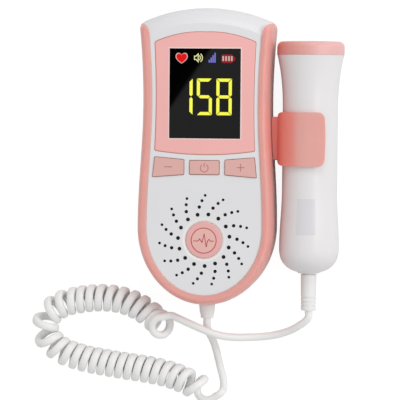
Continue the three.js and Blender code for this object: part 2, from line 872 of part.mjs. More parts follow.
function screw(x, y) {
  const head = wellDeep - seat - screwHeadThick;
  return turned(
    [
      [0, head], [screwHead, head], [screwHead, head + screwHeadThick], [screwShank, head + screwHeadThick],
      [screwShank, head + screwHeadThick + screwLength], [0, head + screwHeadThick + screwLength],
    ],
    x, y, boreSides,
  );
}

function tenonBase() {
  return probeZ - tenonDeep;
}

// Cells, springs and contacts

const springStart = bayFootY + contactThick + 2 * seat;

function cell() {
  return turnedAlong(
    [
      [0, 0], [nubRadius, 0], [nubRadius, nubLength], [cellRadius, nubLength], [cellRadius, cellLength],
      [0, cellLength],
    ],
    cellSides,
  );
}

function spring() {
  const points = [];
  const steps = springTurns * curlSteps;
  for (let i = 0; i <= steps; i++) {
    const turn = (2 * Math.PI * i) / curlSteps;
    points.push(
      new THREE.Vector3(
        springRadius * Math.cos(turn),
        springWire + ((springLength - 2 * springWire) * i) / steps,
        springRadius * Math.sin(turn),
      ),
    );
  }
  return tubeThrough(points, springWire, curlSides);
}

function contact(x, y, wide) {
  const low = cellZ - contactHigh / 2;
  return box(x - wide / 2, x + wide / 2, y, y + contactThick, low, low + contactHigh);
}

// Cord boot

function cordBoot() {
  const bow = 1 - Math.sqrt(1 - (bootFlange / (halfWide - rearWall)) ** 2);
  const wallInner = caseLength / 2 - rearWall - (lowerCurve - rearWall) * bow;
  return turnedAlong(
    [
      [0, wallInner - seat - bootFlangeThick], [bootFlange, wallInner - seat - bootFlangeThick],
      [bootFlange, wallInner - seat], [bootNeck, wallInner - seat], [bootNeck, caseLength / 2 + seat],
      [bootRoot, caseLength / 2 + seat], [bootTip, caseLength / 2 + bootShown],
      [0, caseLength / 2 + bootShown],
    ],
    bootSides,
  );
}

// Probe, turned about its own axis, with distances from its head

function probeRadius(s) {
  if (s < flareEnd) {
    const share = (s - capLength) / (flareEnd - capLength);
    return barrelRadius + (flareRadius - barrelRadius) * (1 - share) ** flarePower;
  }
  if (s < tailStart) return barrelRadius;
  if (s < tailWidest) {
    const share = (s - tailStart) / (tailWidest - tailStart);
    return barrelRadius + ((tailRadius - barrelRadius) * (1 - Math.cos(Math.PI * share))) / 2;
  }
  const share = (s - tailWidest) / (probeLength - tailWidest);
  return Math.max(tailRadius * (1 - share ** tailPower) ** (1 / tailPower), tailFlat);
}

function probeHousing() {
  const start = capLength + seat;
  const marks = [];
  for (let i = 0; i <= flareSteps; i++) marks.push(start + ((flareEnd - start) * i) / flareSteps);
  for (let i = 0; i <= tailSteps; i++) marks.push(tailStart + ((tailWidest - tailStart) * i) / tailSteps);
  for (const share of tailRoundShares) marks.push(tailWidest + (probeLength - tailWidest) * share);
  const outer = marks.map((s) => [probeRadius(s), s]);
  const hole = sleeveRoot + seat;
  const insideEnd = probeLength - 2 * probeWall;
  const inner = marks
    .filter((s) => s < insideEnd - probeWall)
    .map((s) => [probeRadius(s) - probeWall, s])
    .reverse();
  const profile = [
    ...outer,
    [hole, probeLength],
    [hole, insideEnd],
    [sleeveFlange + probeWall, insideEnd],
    ...inner,
  ];
  profile.push(profile[0]);
  return turnedAlong(profile, latheSides);
}

function probeCap() {
  const inside = flareRadius - probeWall - seat;
  const rounded = Array.from({ length: headSteps + 1 }, (_, i) => {
    const turn = (Math.PI / 2) * (i / headSteps);
    return [headFlat + headBevel * Math.sin(turn), headRound * (1 - Math.cos(turn))];
  });
  const profile = [
    [faceRadius + seat, 0],
    ...rounded,
    [headRadius, capLength],
    [inside - capSpigot / 2, capLength],
    [inside - capSpigot / 2, capLength + capSpigot],
    [faceRadius - faceLedge, capLength + capSpigot],
    [faceRadius - faceLedge, faceSunk + faceThick + seat],
    [faceRadius + seat, faceSunk + faceThick + seat],
  ];
  profile.push(profile[0]);
  return turnedAlong(profile, latheSides);
}

function probeFace() {
  return turnedAlong(
    [[0, faceSunk], [faceRadius, faceSunk], [faceRadius, faceSunk + faceThick], [0, faceSunk + faceThick]],
    latheSides,
  );
}

function crystal(side) {
  const start = faceSunk + faceThick + seat;
  const disc = turnedAlong(
    [[0, start], [crystalRadius, start], [crystalRadius, start + crystalThick], [0, start + crystalThick]],
    crystalSides,
  );
  const near = crystalGap / 2;
  const far = crystalRadius + overrun;
  const half = side > 0 ? [near, far] : [-far, -near];
  return disc.intersect(box(...half, -probeLength, overrun, -far, far));
}

function probeBoard() {
  return box(
    -probeBoardHalf, probeBoardHalf, -probeBoardStart - probeBoardLength, -probeBoardStart,
    -boardThick / 2, boardThick / 2,
  );
}

function probeSleeve() {
  const inside = probeLength - 2 * probeWall;
  const end = probeLength + sleeveLength;
  const ribStart = probeLength + sleeveSmooth;
  const step = (end - ribStart) / sleeveRibs;
  const at = (s) => sleeveRoot + ((sleeveTip - sleeveRoot) * (s - probeLength)) / sleeveLength;
  const profile = [
    [0, inside - seat - sleeveFlangeThick], [sleeveFlange, inside - seat - sleeveFlangeThick],
    [sleeveFlange, inside - seat], [sleeveRoot - seat / 3, inside - seat],
    [sleeveRoot, probeLength + seat],
  ];
  for (let i = 0; i < sleeveRibs; i++) {
    const s = ribStart + step * i;
    profile.push([at(s), s], [at(s) - sleeveGroove, s + sleeveGroove / 2]);
    profile.push([at(s) - sleeveGroove, s + sleeveGroove], [at(s), s + sleeveGroove + sleeveGroove / 2]);
  }
  profile.push([sleeveTip, end], [0, end]);
  return turnedAlong(profile, sleeveSides);
}

// Clip: a U that opens to the right, on a neck with a tenon in the side of the case

function probeClip() {
  const inner = barrelRadius + seat;
  const outer = inner + clipWall;
  const tip = probeX + clipReach;
  const arc = (radius, from, to) =>
    Array.from({ length: clipSteps + 1 }, (_, i) => {
      const turn = ((from + ((to - from) * i) / clipSteps) * Math.PI) / 180;
      return [probeX + radius * Math.cos(turn), probeZ + radius * Math.sin(turn)];
    });
  const profile = [
    [tip, probeZ + outer], ...arc(outer, 90, 270), [tip, probeZ - outer],
    [tip, probeZ - inner], ...arc(inner, 270, 90), [tip, probeZ + inner],
  ];
  const shape = new THREE.Shape(profile.map(([x, z]) => new THREE.Vector2(x, z)));
  const band = new THREE.ExtrudeGeometry(shape, { depth: clipHigh, bevelEnabled: false });
  band.rotateX(Math.PI / 2);
  band.translate(0, clipY + clipHigh / 2, 0);
  const left = probeX - outer;
  const edge = tip - clipBulge;
  const [low, high] = [clipY - clipHigh / 2, clipY + clipHigh / 2];
  const [lowCorner, highCorner] = [low + clipCorner, high - clipCorner];
  const arms = [
    [left, low],
    ...bezier([tip - clipCorner, low], [edge, low], [edge, lowCorner], clipCornerSteps),
    ...bezier([edge, lowCorner], [tip, clipY], [edge, highCorner], clipCornerSteps).slice(1),
    ...bezier([edge, highCorner], [edge, high], [tip - clipCorner, high], clipCornerSteps).slice(1),
    [left, high],
  ];
  const body = solidOf(band).intersect(prism(arms, probeZ - outer - overrun, probeZ + outer + overrun));
  const neck = box(
    halfWaist - overrun, probeX - inner - clipWall / 2, clipY - neckHigh / 2, clipY + neckHigh / 2,
    probeZ - neckDeep / 2, probeZ + neckDeep / 2,
  ).subtract(prism(caseOutline(-seat, -seat), -overrun, caseDepth + overrun));
  const tenon = box(
    halfWaist - rearWall, halfWide + clipWall, clipY - tenonHigh / 2, clipY + tenonHigh / 2,
    tenonBase(), tenonBase() + tenonDeep,
  );
  return join([body, neck, tenon]);
}

// Cord

// The curl winds round its middle line. It has more room between its turns where that line bends.
function curlPoints() {
  const line = new THREE.CatmullRomCurve3(vectorsOf(curlRoute), false, "centripetal");
  const fine = lineSteps;
  const middles = line.getSpacedPoints(fine);
  const step = line.getLength() / fine;
  const ahead = middles.map((_, i) =>
    middles[Math.min(i + 1, fine)].clone().sub(middles[Math.max(i - 1, 0)]).normalize(),
  );
  const reach = Math.round((fine * curlRadius) / line.getLength() / 2);
  const pace = middles.map((_, i) => {
    const [from, to] = [Math.max(i - reach, 0), Math.min(i + reach, fine)];
    const bend = ahead[from].angleTo(ahead[to]) / ((to - from) * step);
    return Math.max(1 - bendShare * curlRadius * bend, leastPaceShare) * step;
  });
  const travelled = [0];
  for (let i = 0; i < fine; i++) travelled.push(travelled[i] + (pace[i] + pace[i + 1]) / 2);
  const whole = travelled[fine];
  let up = new THREE.Vector3(0, 1, 0);
  up.addScaledVector(ahead[0], -up.dot(ahead[0])).normalize();
  const ups = [up.clone()];
  for (let i = 1; i <= fine; i++) {
    up = up.clone().applyQuaternion(new THREE.Quaternion().setFromUnitVectors(ahead[i - 1], ahead[i]));
    up.addScaledVector(ahead[i], -up.dot(ahead[i])).normalize();
    ups.push(up);
  }
  const count = Math.round(curlTurns * curlSteps);
  const points = [];
  let i = 0;
  for (let k = 0; k <= count; k++) {
    const wanted = (whole * k) / count;
    while (i + 1 < fine && travelled[i + 1] < wanted) i++;
    const turn = ((curlStart - (360 * curlTurns * k) / count) * Math.PI) / 180;
    const across = ahead[i].clone().cross(ups[i]);
    points.push(
      middles[i]
        .clone()
        .addScaledVector(ups[i], curlRadius * Math.cos(turn))
        .addScaledVector(across, curlRadius * Math.sin(turn)),
    );
  }
  return points;
}

// Both ends of the curl run straight for one diameter
function withStraightEnds(points) {
  const last = points.length - 1;
  const first = points[0].clone().sub(points[1]).normalize();
  const end = points[last].clone().sub(points[last - 1]).normalize();
  return [
    points[0].clone().addScaledVector(first, cordDiameter),
    ...points,
    points[last].clone().addScaledVector(end, cordDiameter),
  ];
}

function leastGap(points, apart) {
  let least = Infinity;
  const segment = new THREE.Line3();
  const near = new THREE.Vector3();
  for (let i = 0; i + 1 < points.length; i++) {
    segment.set(points[i], points[i + 1]);
    for (let k = 0; k < points.length; k++) {
      if (Math.abs(k - i) < apart) continue;
      segment.closestPointToPoint(points[k], true, near);
      least = Math.min(least, near.distanceTo(points[k]));
    }
  }
  return least - cordDiameter;
}

function lead(curve) {
  const turns = Array.from({ length: leadSides }, (_, k) => (2 * Math.PI * (k + 0.5)) / leadSides);
  const shape = new THREE.Shape(
    turns.map((t) => new THREE.Vector2(cordRadius * Math.cos(t), cordRadius * Math.sin(t))),
  );
  const steps = Math.round(curve.getLength() / (leadStep * cordDiameter));
  return solidOf(new THREE.ExtrudeGeometry(shape, { steps, bevelEnabled: false, extrudePath: curve }));
}

const curl = withStraightEnds(curlPoints());
const curlFirst = curl[0];
const curlLast = curl[curl.length - 1];
const intoCurl = curl[1].clone().sub(curlFirst).normalize();
const outOfCurl = curlLast.clone().sub(curl[curl.length - 2]).normalize();
const bootEnd = new THREE.Vector3(0, footY - bootShown - seat, bootHeight);
const sleeveEnd = new THREE.Vector3(probeX, probeY - probeLength - sleeveLength - seat, probeZ);
const monitorLeadLine = new THREE.CatmullRomCurve3(
  [
    bootEnd,
    bootEnd.clone().add(new THREE.Vector3(0, -cordDiameter, 0)),
    ...vectorsOf(monitorLeadRoute),
    curlFirst.clone().addScaledVector(intoCurl, -seat - cordRadius),
    curlFirst.clone().addScaledVector(intoCurl, -seat),
  ],
  false,
  "centripetal",
);
const probeLeadLine = new THREE.CatmullRomCurve3(
  [
    curlLast.clone().addScaledVector(outOfCurl, seat),
    curlLast.clone().addScaledVector(outOfCurl, seat + cordRadius),
    ...vectorsOf(probeLeadRoute),
    sleeveEnd.clone().add(new THREE.Vector3(0, -cordDiameter, 0)),
    sleeveEnd,
  ],
  false,
  "centripetal",
);

// Materials, in the colours of the object
function material(color, roughness, metalness = 0) {
  return new THREE.MeshStandardMaterial({ color, roughness, metalness });
}
const pink = material(0xe8a096, 0.42);
const palePink = material(0xf0b2ac, 0.4);
const deepPink = material(0xe1968c, 0.35);
const white = material(0xf2f2f2, 0.35);
const cordWhite = material(0xededeb, 0.5);
const glass = material(0x0a0a0a, 0.08);
const grey = material(0xb8bcc0, 0.5);
const boardGreen = material(0x2f6b45, 0.6);
const steel = material(0xc4c6c8, 0.3, 1);
const rubber = material(0xd8d8d6, 0.8);
const cellColour = material(0x3c6e8f, 0.35, 0.3);
const darkGrey = material(0x303234, 0.6);

// Assembly
const monitor = new THREE.Group();
const place = (name, solid, finish) => monitor.add(meshOf(name, solid, finish));
place("rear_shell", rearShell(), pink);
place("front_shell", frontShell(), white);
place("display_bezel", displayBezel(), palePink);
place("display_lens", screenBox(0, pocketZ + seat, faceZ + lensProud), glass);
place("display_module", displayModule(), darkGrey);
place("minus_button", key(minusOutline), palePink);
place("power_button", key(powerOutline), palePink);
place("plus_button", key(plusOutline), palePink);
place("keypad_membrane", keypadMat(), rubber);
place("speaker_badge", speakerBadge(), palePink);
place("speaker", speaker(), darkGrey);
place("main_board", mainBoard(), boardGreen);
place("battery_door", batteryDoor(), pink);
screwPlaces.forEach(([x, y], i) => place("case_screw_" + (i + 1), screw(x, y), steel));

const cellTop = bayTopY - contactThick - 2 * seat;
const leftCell = meshOf("battery_cell_left", cell(), cellColour);
leftCell.position.set(-cellSpacing / 2, cellTop, cellZ);
const rightCell = meshOf("battery_cell_right", cell(), cellColour);
rightCell.position.set(cellSpacing / 2, springStart, cellZ);
rightCell.rotation.z = Math.PI;
const leftSpring = meshOf("battery_spring_left", spring(), steel);
leftSpring.position.set(-cellSpacing / 2, springStart, cellZ);
const rightSpring = meshOf("battery_spring_right", spring(), steel);
rightSpring.position.set(cellSpacing / 2, cellTop, cellZ);
rightSpring.rotation.z = Math.PI;
monitor.add(leftCell, rightCell, leftSpring, rightSpring);
place("contact_link", contact(0, cellTop + seat, cellSpacing + contactWide), steel);
place("contact_left", contact(-cellSpacing / 2, bayFootY + seat, contactWide), steel);
place("contact_right", contact(cellSpacing / 2, bayFootY + seat, contactWide), steel);

const boot = meshOf("cord_boot", cordBoot(), white);
boot.position.z = bootHeight;
monitor.add(boot);
place("probe_clip", probeClip(), deepPink);
place("monitor_lead", lead(monitorLeadLine), cordWhite);
place("curly_cord", tubeThrough(curl, cordRadius, curlSides), cordWhite);
place("probe_lead", lead(probeLeadLine), cordWhite);

const probe = new THREE.Group();
probe.position.set(probeX, probeY, probeZ);
probe.add(
  meshOf("probe_housing", probeHousing(), white),
  meshOf("probe_cap", probeCap(), deepPink),
  meshOf("probe_face", probeFace(), grey),
  meshOf("crystal_send", crystal(-1), grey),
  meshOf("crystal_receive", crystal(1), grey),
  meshOf("probe_board", probeBoard(), boardGreen),
  meshOf("probe_sleeve", probeSleeve(), white),
);
monitor.add(probe);

// The origin is under the middle of the handset and the probe, on the surface they lie on
const rightmost = probeX + headRadius;
const lowest = footY - bootShown;
monitor.position.set(-(rightmost - halfWide) / 2, -(topY + lowest) / 2, 0);
const whole = new THREE.Group();
whole.add(monitor);

const cordLength = monitorLeadLine.getLength() + probeLeadLine.getLength() + 2 * seat;
const curlLength = curl.slice(1).reduce((sum, p, i) => sum + p.distanceTo(curl[i]), 0);
console.log("curl gap", leastGap(curl, curlSteps / 2 + 1).toFixed(2), "mm");
console.log("cord length", (cordLength + curlLength).toFixed(0), "mm");

export default whole;
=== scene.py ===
# Fetal doppler monitor: the dressed model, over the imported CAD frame.
# It is drawn in the handset's own millimetres, its middle at 0, 0 and its back at height 0.
import math

import bmesh
import bpy
from mathutils import Matrix, Vector

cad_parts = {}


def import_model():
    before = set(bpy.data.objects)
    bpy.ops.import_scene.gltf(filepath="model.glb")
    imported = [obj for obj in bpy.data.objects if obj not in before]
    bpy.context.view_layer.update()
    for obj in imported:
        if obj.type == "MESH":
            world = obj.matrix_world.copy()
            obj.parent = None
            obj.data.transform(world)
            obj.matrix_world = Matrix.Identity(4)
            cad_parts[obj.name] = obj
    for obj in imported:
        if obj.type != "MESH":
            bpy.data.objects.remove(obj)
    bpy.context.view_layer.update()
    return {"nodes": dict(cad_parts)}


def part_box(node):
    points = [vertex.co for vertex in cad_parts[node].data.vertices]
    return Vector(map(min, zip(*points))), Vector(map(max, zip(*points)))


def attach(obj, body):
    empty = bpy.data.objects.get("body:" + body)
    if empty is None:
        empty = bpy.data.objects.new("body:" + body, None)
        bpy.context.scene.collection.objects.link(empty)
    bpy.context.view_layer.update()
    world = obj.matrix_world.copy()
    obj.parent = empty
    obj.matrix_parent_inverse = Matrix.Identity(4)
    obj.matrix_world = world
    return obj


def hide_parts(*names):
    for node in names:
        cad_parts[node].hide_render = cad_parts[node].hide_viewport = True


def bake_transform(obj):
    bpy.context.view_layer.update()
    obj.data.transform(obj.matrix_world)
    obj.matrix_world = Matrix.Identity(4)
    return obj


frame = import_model()

MM = 0.001
case_low, case_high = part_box("rear_shell")
cap_low, cap_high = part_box("probe_cap")
HOME = Vector(((case_low.x + case_high.x) / 2, (case_low.y + case_high.y) / 2, 0))
TO_ROW = Matrix.Translation(HOME) @ Matrix.Diagonal((MM, MM, MM, 1))
SENSOR = 36


# Camera

def make_camera():
    """The photo's view from above: 400 pixels wide, with a focal length of 2183 pixels."""
    aim = TO_ROW @ Vector((-1.8, -19.53, 30))
    back = Vector((0.115, 0.05, 1)).normalized()
    across = Vector((0, 1, 0)).cross(back).normalized()
    up = back.cross(across)
    lean = Matrix.Rotation(math.radians(0.45), 3, back)
    across, up = lean @ across, lean @ up
    camera = bpy.data.objects.new("camera", bpy.data.cameras.new("camera"))
    bpy.context.scene.collection.objects.link(camera)
    place = aim + back
    camera.matrix_world = Matrix(
        [[across[i], up[i], back[i], place[i]] for i in range(3)] + [[0, 0, 0, 1]]
    )
    camera.data.sensor_width = SENSOR
    camera.data.lens = SENSOR * 2183 / 400
    bpy.context.scene.camera = camera


make_camera()


# Cord

CORD = 3.5 * MM
CURL_RADIUS = 4.8 * MM
CURL_TURNS = 31.1
CURL_START = 225
CURL_STEPS, TURN_STEPS, CORD_SIDES = 3000, 20, 16
CLOSEST_PACE = 0.22
PRESSED_OUT, PRESSED_ALONG, SQUARENESS = 0.985, 1.06, 2.9


def route(points):
    """A drawn line's points, from millimetres to metres."""
    return [Vector(p) * MM for p in points]


CURL_ROUTE = route([
    (-0.4, -110.5, 3.3), (-1.3, -110.2, 5.6), (-3.3, -109.2, 8), (-6.4, -107.5, 9.2),
    (-12.4, -104.9, 8.4), (-20.9, -102.5, 7), (-31.2, -100.7, 6.8), (-40.9, -99.4, 6.8),
    (-50.7, -97.9, 6.8), (-60.5, -96, 6.8), (-70.6, -92.3, 6.8), (-77.3, -85.3, 6.8),
    (-76.4, -76.3, 6.8), (-69.3, -70.7, 6.8), (-61.3, -68.6, 6.8), (-53.3, -67.6, 6.8),
    (-45.8, -67.7, 6.8), (-38.8, -69.1, 6.8), (-32.3, -71.9, 6.8), (-27.3, -75.2, 7.2),
    (-24, -77.5, 9.4), (-21.6, -79.1, 12.6), (-20.6, -79.8, 16),
])
MONITOR_LEAD_ROUTE = route([
    (0.5, -81.6, 11.3), (1, -83.8, 8.5), (1.6, -85.8, 5.4), (2.3, -88.3, 3.2), (3.2, -91.4, 2.1),
    (4.2, -95.4, 1.9), (5.4, -100.2, 1.9), (6.5, -104.2, 2), (7, -107.4, 2.2),
    (6.9, -109.7, 2.5),
])
PROBE_LEAD_ROUTE = route([
    (-12.8, -75.6, 17.4), (-7.9, -77.7, 17.6), (-2.8, -79.9, 17.4), (2.3, -82, 16.4),
    (7.3, -83.6, 14.4), (12.9, -84.4, 12), (18.8, -84.5, 10), (25.2, -84.2, 9.2),
    (31.8, -83.1, 9.9), (37.8, -81.1, 11.8), (42.8, -78.3, 14.4),
])


def smooth_line(points, steps):
    """A centripetal curve through the points."""
    ends = [2 * points[0] - points[1]] + points + [2 * points[-1] - points[-2]]
    line = []
    for i in range(1, len(ends) - 2):
        p0, p1, p2, p3 = ends[i - 1:i + 3]
        t1 = (p1 - p0).length ** 0.5
        t2 = t1 + (p2 - p1).length ** 0.5
        t3 = t2 + (p3 - p2).length ** 0.5
        for k in range(steps):
            t = t1 + (t2 - t1) * k / steps
            a = p0.lerp(p1, t / t1)
            b = p1.lerp(p2, (t - t1) / (t2 - t1))
            c = p2.lerp(p3, (t - t2) / (t3 - t2))
            d = a.lerp(b, t / t2)
            e = b.lerp(c, (t - t1) / (t3 - t1))
            line.append(d.lerp(e, (t - t1) / (t2 - t1)))
    line.append(points[-1])
    return line


def spaced(line, count):
    """The same line with equal steps."""
    marks = [0.0]
    for a, b in zip(line, line[1:]):
        marks.append(marks[-1] + (b - a).length)
    even = []
    i = 0
    for k in range(count + 1):
        want = marks[-1] * k / count
        while i + 2 < len(line) and marks[i + 1] < want:
            i += 1
        share = (want - marks[i]) / max(marks[i + 1] - marks[i], 1e-9)
        even.append(line[i].lerp(line[i + 1], min(share, 1)))
    return even, marks[-1]


def carried_frames(line, first):
    """Direction and side of the line at each point, the side carried along without twist."""
    ahead = []
    for i in range(len(line)):
        ahead.append((line[min(i + 1, len(line) - 1)] - line[max(i - 1, 0)]).normalized())
    side = (first - ahead[0] * first.dot(ahead[0])).normalized()
    sides = [side]
    for a, b in zip(ahead, ahead[1:]):
        side = a.rotation_difference(b) @ side
        side = (side - b * side.dot(b)).normalized()
        sides.append(side)
    return ahead, sides


def curl_points():
    """The curl's own line, and at each point the way outward and how flat the cord is pressed."""
    count = CURL_STEPS
    middles, length = spaced(smooth_line(CURL_ROUTE, 60), count)
    ahead, ups = carried_frames(middles, Vector((0, 1, 0)))
    step = length / count
    reach = round(count * CURL_RADIUS / length / 2)
    pace = []
    for i in range(count + 1):
        a, b = max(i - reach, 0), min(i + reach, count)
        bend = ahead[a].angle(ahead[b]) / ((b - a) * step)
        pace.append(max(1 - CURL_RADIUS * bend, CLOSEST_PACE) * step)
    travelled = [0.0]
    for i in range(count):
        travelled.append(travelled[i] + (pace[i] + pace[i + 1]) / 2)
    total = round(CURL_TURNS * TURN_STEPS)
    points, outward = [], []
    i = 0
    for k in range(total + 1):
        want = travelled[-1] * k / total
        while i + 1 < count and travelled[i + 1] < want:
            i += 1
        turn = math.radians(CURL_START - 360 * CURL_TURNS * k / total)
        out = math.cos(turn) * ups[i] + math.sin(turn) * ahead[i].cross(ups[i])
        points.append(middles[i] + CURL_RADIUS * out)
        outward.append((out, min(1, k / TURN_STEPS, (total - k) / TURN_STEPS)))
    return points, outward


def cord_line():
    """The whole cord's line from the boot to the sleeve, through both leads and the curl."""
    boot_low, boot_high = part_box("cord_boot")
    sleeve_low, sleeve_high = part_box("probe_sleeve")
    boot = Vector((0, boot_low.y - HOME.y, (boot_low.z + boot_high.z) / 2))
    sleeve = (sleeve_low + sleeve_high) / 2 - HOME
    sleeve.y = sleeve_low.y - HOME.y
    back = Vector((0, 0.6 * MM, 0))
    out = Vector((0, -CORD, 0))
    curl, outward = curl_points()
    into, leave = (curl[1] - curl[0]).normalized(), (curl[-1] - curl[-2]).normalized()
    first = [boot + back, boot + out] + MONITOR_LEAD_ROUTE + [curl[0] - 1.2 * CORD * into, curl[0]]
    last = [curl[-1], curl[-1] + 1.2 * CORD * leave] + PROBE_LEAD_ROUTE
    last += [sleeve + out, sleeve + back]
    first, last = smooth_line(first, 5)[:-1], smooth_line(last, 5)[1:]
    plain = (Vector((0, 0, 1)), 0)
    outward = [plain] * len(first) + outward + [plain] * len(last)
    return [p + HOME for p in first + curl + last], outward


def drawn_through(outlines):
    """A closed solid: the first outline's face, drawn out through the others one after another."""
    bm = bmesh.new()
    ring = [bm.verts.new(p) for p in outlines[0]]
    face = bm.faces.new(ring)
    for outline in outlines[1:]:
        inner = face
        made = bmesh.ops.extrude_face_region(bm, geom=[face])["geom"]
        fresh = {e for e in made if isinstance(e, bmesh.types.BMVert)}
        face = next(e for e in made if isinstance(e, bmesh.types.BMFace))
        if outline is not outlines[1]:
            bmesh.ops.delete(bm, geom=[inner], context="FACES_ONLY")
        ring = [
            next(e.other_vert(v) for e in v.link_edges if e.other_vert(v) in fresh) for v in ring
        ]
        for vert, place in zip(ring, outline):
            vert.co = place
    bmesh.ops.recalc_face_normals(bm, faces=bm.faces)
    return bm


def tube_rings(line, radius, sides, outward):
    """The cord's sections along the line, round in the leads and pressed flatter in the curl."""
    ahead, across = carried_frames(line, Vector((0, 0, 1)))
    turns = [math.tau * i / sides for i in range(sides)]
    rings = []
    for k, (p, way, side) in enumerate(zip(line, ahead, across)):
        other = way.cross(side)
        out, share = outward[k]
        lean = math.atan2(out.dot(other), out.dot(side))
        ring = []
        for t in turns:
            c, s = abs(math.cos(t - lean)) / PRESSED_OUT, abs(math.sin(t - lean)) / PRESSED_ALONG
            flat = (c ** SQUARENESS + s ** SQUARENESS) ** (-1 / SQUARENESS)
            reach = radius * (1 + share * (flat - 1))
            ring.append(p + reach * (math.cos(t) * side + math.sin(t) * other))
        rings.append(ring)
    return rings


# Materials

def linear(r, g, b):
    """A colour given as it looks on screen, 0 to 255."""
    def one(v):
        v /= 255
        return v / 12.92 if v <= 0.04045 else ((v + 0.055) / 1.055) ** 2.4
    return (one(r), one(g), one(b), 1)


def dimmed(colour, share):
    """A share of a colour's brightness as it looks on screen."""
    return linear(*[v * share for v in colour])


def new_material(name, values):
    """A material, its nodes and its Principled node, with values for that node's inputs."""
    made = bpy.data.materials.new(name)
    made.use_nodes = True
    shader = made.node_tree.nodes["Principled BSDF"]
    for key, value in values.items():
        shader.inputs[key].default_value = value
    return made, made.node_tree, shader


def node(tree, kind, inputs=None, **settings):
    """A shader node, with values for its inputs and for its settings."""
    made = tree.nodes.new("ShaderNode" + kind)
    for key, value in settings.items():
        setattr(made, key, value)
    for key, value in (inputs or {}).items():
        made.inputs[key].default_value = value
    return made


def wire(tree, *links):
    """Joins nodes: each link gives a node and its output, then a node and its input."""
    for source, output, target, entry in links:
        tree.links.new(source.outputs[output], target.inputs[entry])


def local(tree, kind, inputs=None):
    """A node that reads the object's own coordinates."""
    made = node(tree, kind, inputs)
    wire(tree, (node(tree, "TexCoord"), "Object", made, "Vector"))
    return made


def make_moulded():
    """Fine spark-eroded grain, slow tone drift and uneven gloss of moulded plastic."""
    group = bpy.data.node_groups.new("moulded plastic", "ShaderNodeTree")
    for way, labels in (
        ("INPUT", {"Colour": "Color", "Drift": "Float", "Gloss": "Float", "Grain": "Float",
                   "Grain Size": "Float"}),
        ("OUTPUT", {"Colour": "Color", "Roughness": "Float", "Normal": "Vector"}),
    ):
        for label, kind in labels.items():
            group.interface.new_socket(label, in_out=way, socket_type="NodeSocket" + kind)
    given, out = group.nodes.new("NodeGroupInput"), group.nodes.new("NodeGroupOutput")
    slow = local(group, "TexNoise", {"Scale": 28, "Detail": 3, "Roughness": 0.55})
    ends = {"From Min": 0.3, "From Max": 0.7, "To Min": -0.5, "To Max": 0.5}
    spread = node(group, "MapRange", ends)
    amount = node(group, "Math", {2: 1}, operation="MULTIPLY_ADD")
    tone = node(group, "HueSaturation")
    grain = local(group, "TexNoise", {"Detail": 2, "Roughness": 0.6})
    uneven = node(group, "Math", {1: 0.12}, operation="MULTIPLY_ADD")
    bump = node(group, "Bump", {"Distance": 0.00006})
    wire(
        group, (slow, "Fac", spread, "Value"), (spread, "Result", amount, 0),
        (given, "Drift", amount, 1), (given, "Colour", tone, "Color"),
        (amount, 0, tone, "Value"), (tone, "Color", out, "Colour"),
        (given, "Grain Size", grain, "Scale"), (slow, "Fac", uneven, 0),
        (given, "Gloss", uneven, 2), (uneven, 0, out, "Roughness"),
        (grain, "Fac", bump, "Height"), (given, "Grain", bump, "Strength"),
        (bump, "Normal", out, "Normal"),
    )
    return group


MOULDED = make_moulded()


def plastic(
    name, colour, gloss=0.4, grain=0.1, drift=0.04, size=2500, coat=0, depth=0, sheen=0, left=None
):
    """Moulded plastic. left: the colour of a painted shade on its left side, and the two X between
    which that fades out.
    """
    made, tree, shader = new_material(name, {
        "Coat Weight": coat, "Coat Roughness": 0.15, "Sheen Weight": sheen, "Sheen Roughness": 0.35,
        "Sheen Tint": (1, 0.84, 0.81, 1),
    })
    if depth:
        shader.inputs["Subsurface Weight"].default_value = depth
        shader.inputs["Subsurface Radius"].default_value = (1, 0.25, 0.18)
        shader.inputs["Subsurface Scale"].default_value = 0.005
    look = node(
        tree, "Group",
        {"Drift": drift, "Gloss": gloss, "Grain": grain, "Grain Size": size}, node_tree=MOULDED,
    )
    look.inputs["Colour"].default_value = linear(*colour)
    # The left side's colour is painted shade, blended into the plastic's own colour along X.
    if left:
        apart = local(tree, "SeparateXYZ")
        share = node(
            tree, "MapRange", {"From Min": left[1], "From Max": left[2]},
            interpolation_type="SMOOTHSTEP",
        )
        tone = node(tree, "MixRGB", {1: linear(*left[0]), 2: linear(*colour)})
        wire(
            tree, (apart, "X", share, "Value"), (share, "Result", tone, 0),
            (tone, 0, look, "Colour"),
        )
    wire(
        tree, (look, "Colour", shader, "Base Color"), (look, "Roughness", shader, "Roughness"),
        (look, "Normal", shader, "Normal"),
    )
    return made


def lit(name, colour, strength=0.75):
    """A lit sign on the screen, with the small dots of its backlight."""
    made, tree, shader = new_material(name, {
        "Base Color": dimmed(colour, 0.12), "Roughness": 0.5, "Specular IOR Level": 0.1,
        "Emission Strength": strength,
    })
    dots = local(tree, "TexVoronoi", {"Scale": 2600})
    tone = node(tree, "MixRGB", {1: linear(*colour), 2: dimmed(colour, 0.96)})
    wire(tree, (dots, "Distance", tone, 0), (tone, 0, shader, "Emission Color"))
    return made


def metal(name, colour, gloss=0.3):
    """Plated metal, brushed along X."""
    made, tree, shader = new_material(name, {"Metallic": 1})
    brushed = local(tree, "Mapping", {"Scale": (400, 6000, 6000)})
    lines = node(tree, "TexNoise", {"Scale": 1, "Detail": 2})
    rough = node(tree, "MapRange", {"To Min": gloss - 0.08, "To Max": gloss + 0.12})
    tone = node(tree, "MixRGB", {1: linear(*colour), 2: dimmed(colour, 0.86)})
    wire(
        tree, (brushed, 0, lines, "Vector"), (lines, "Fac", rough, "Value"),
        (rough, "Result", shader, "Roughness"), (lines, "Fac", tone, 0),
        (tone, 0, shader, "Base Color"),
    )
    return made


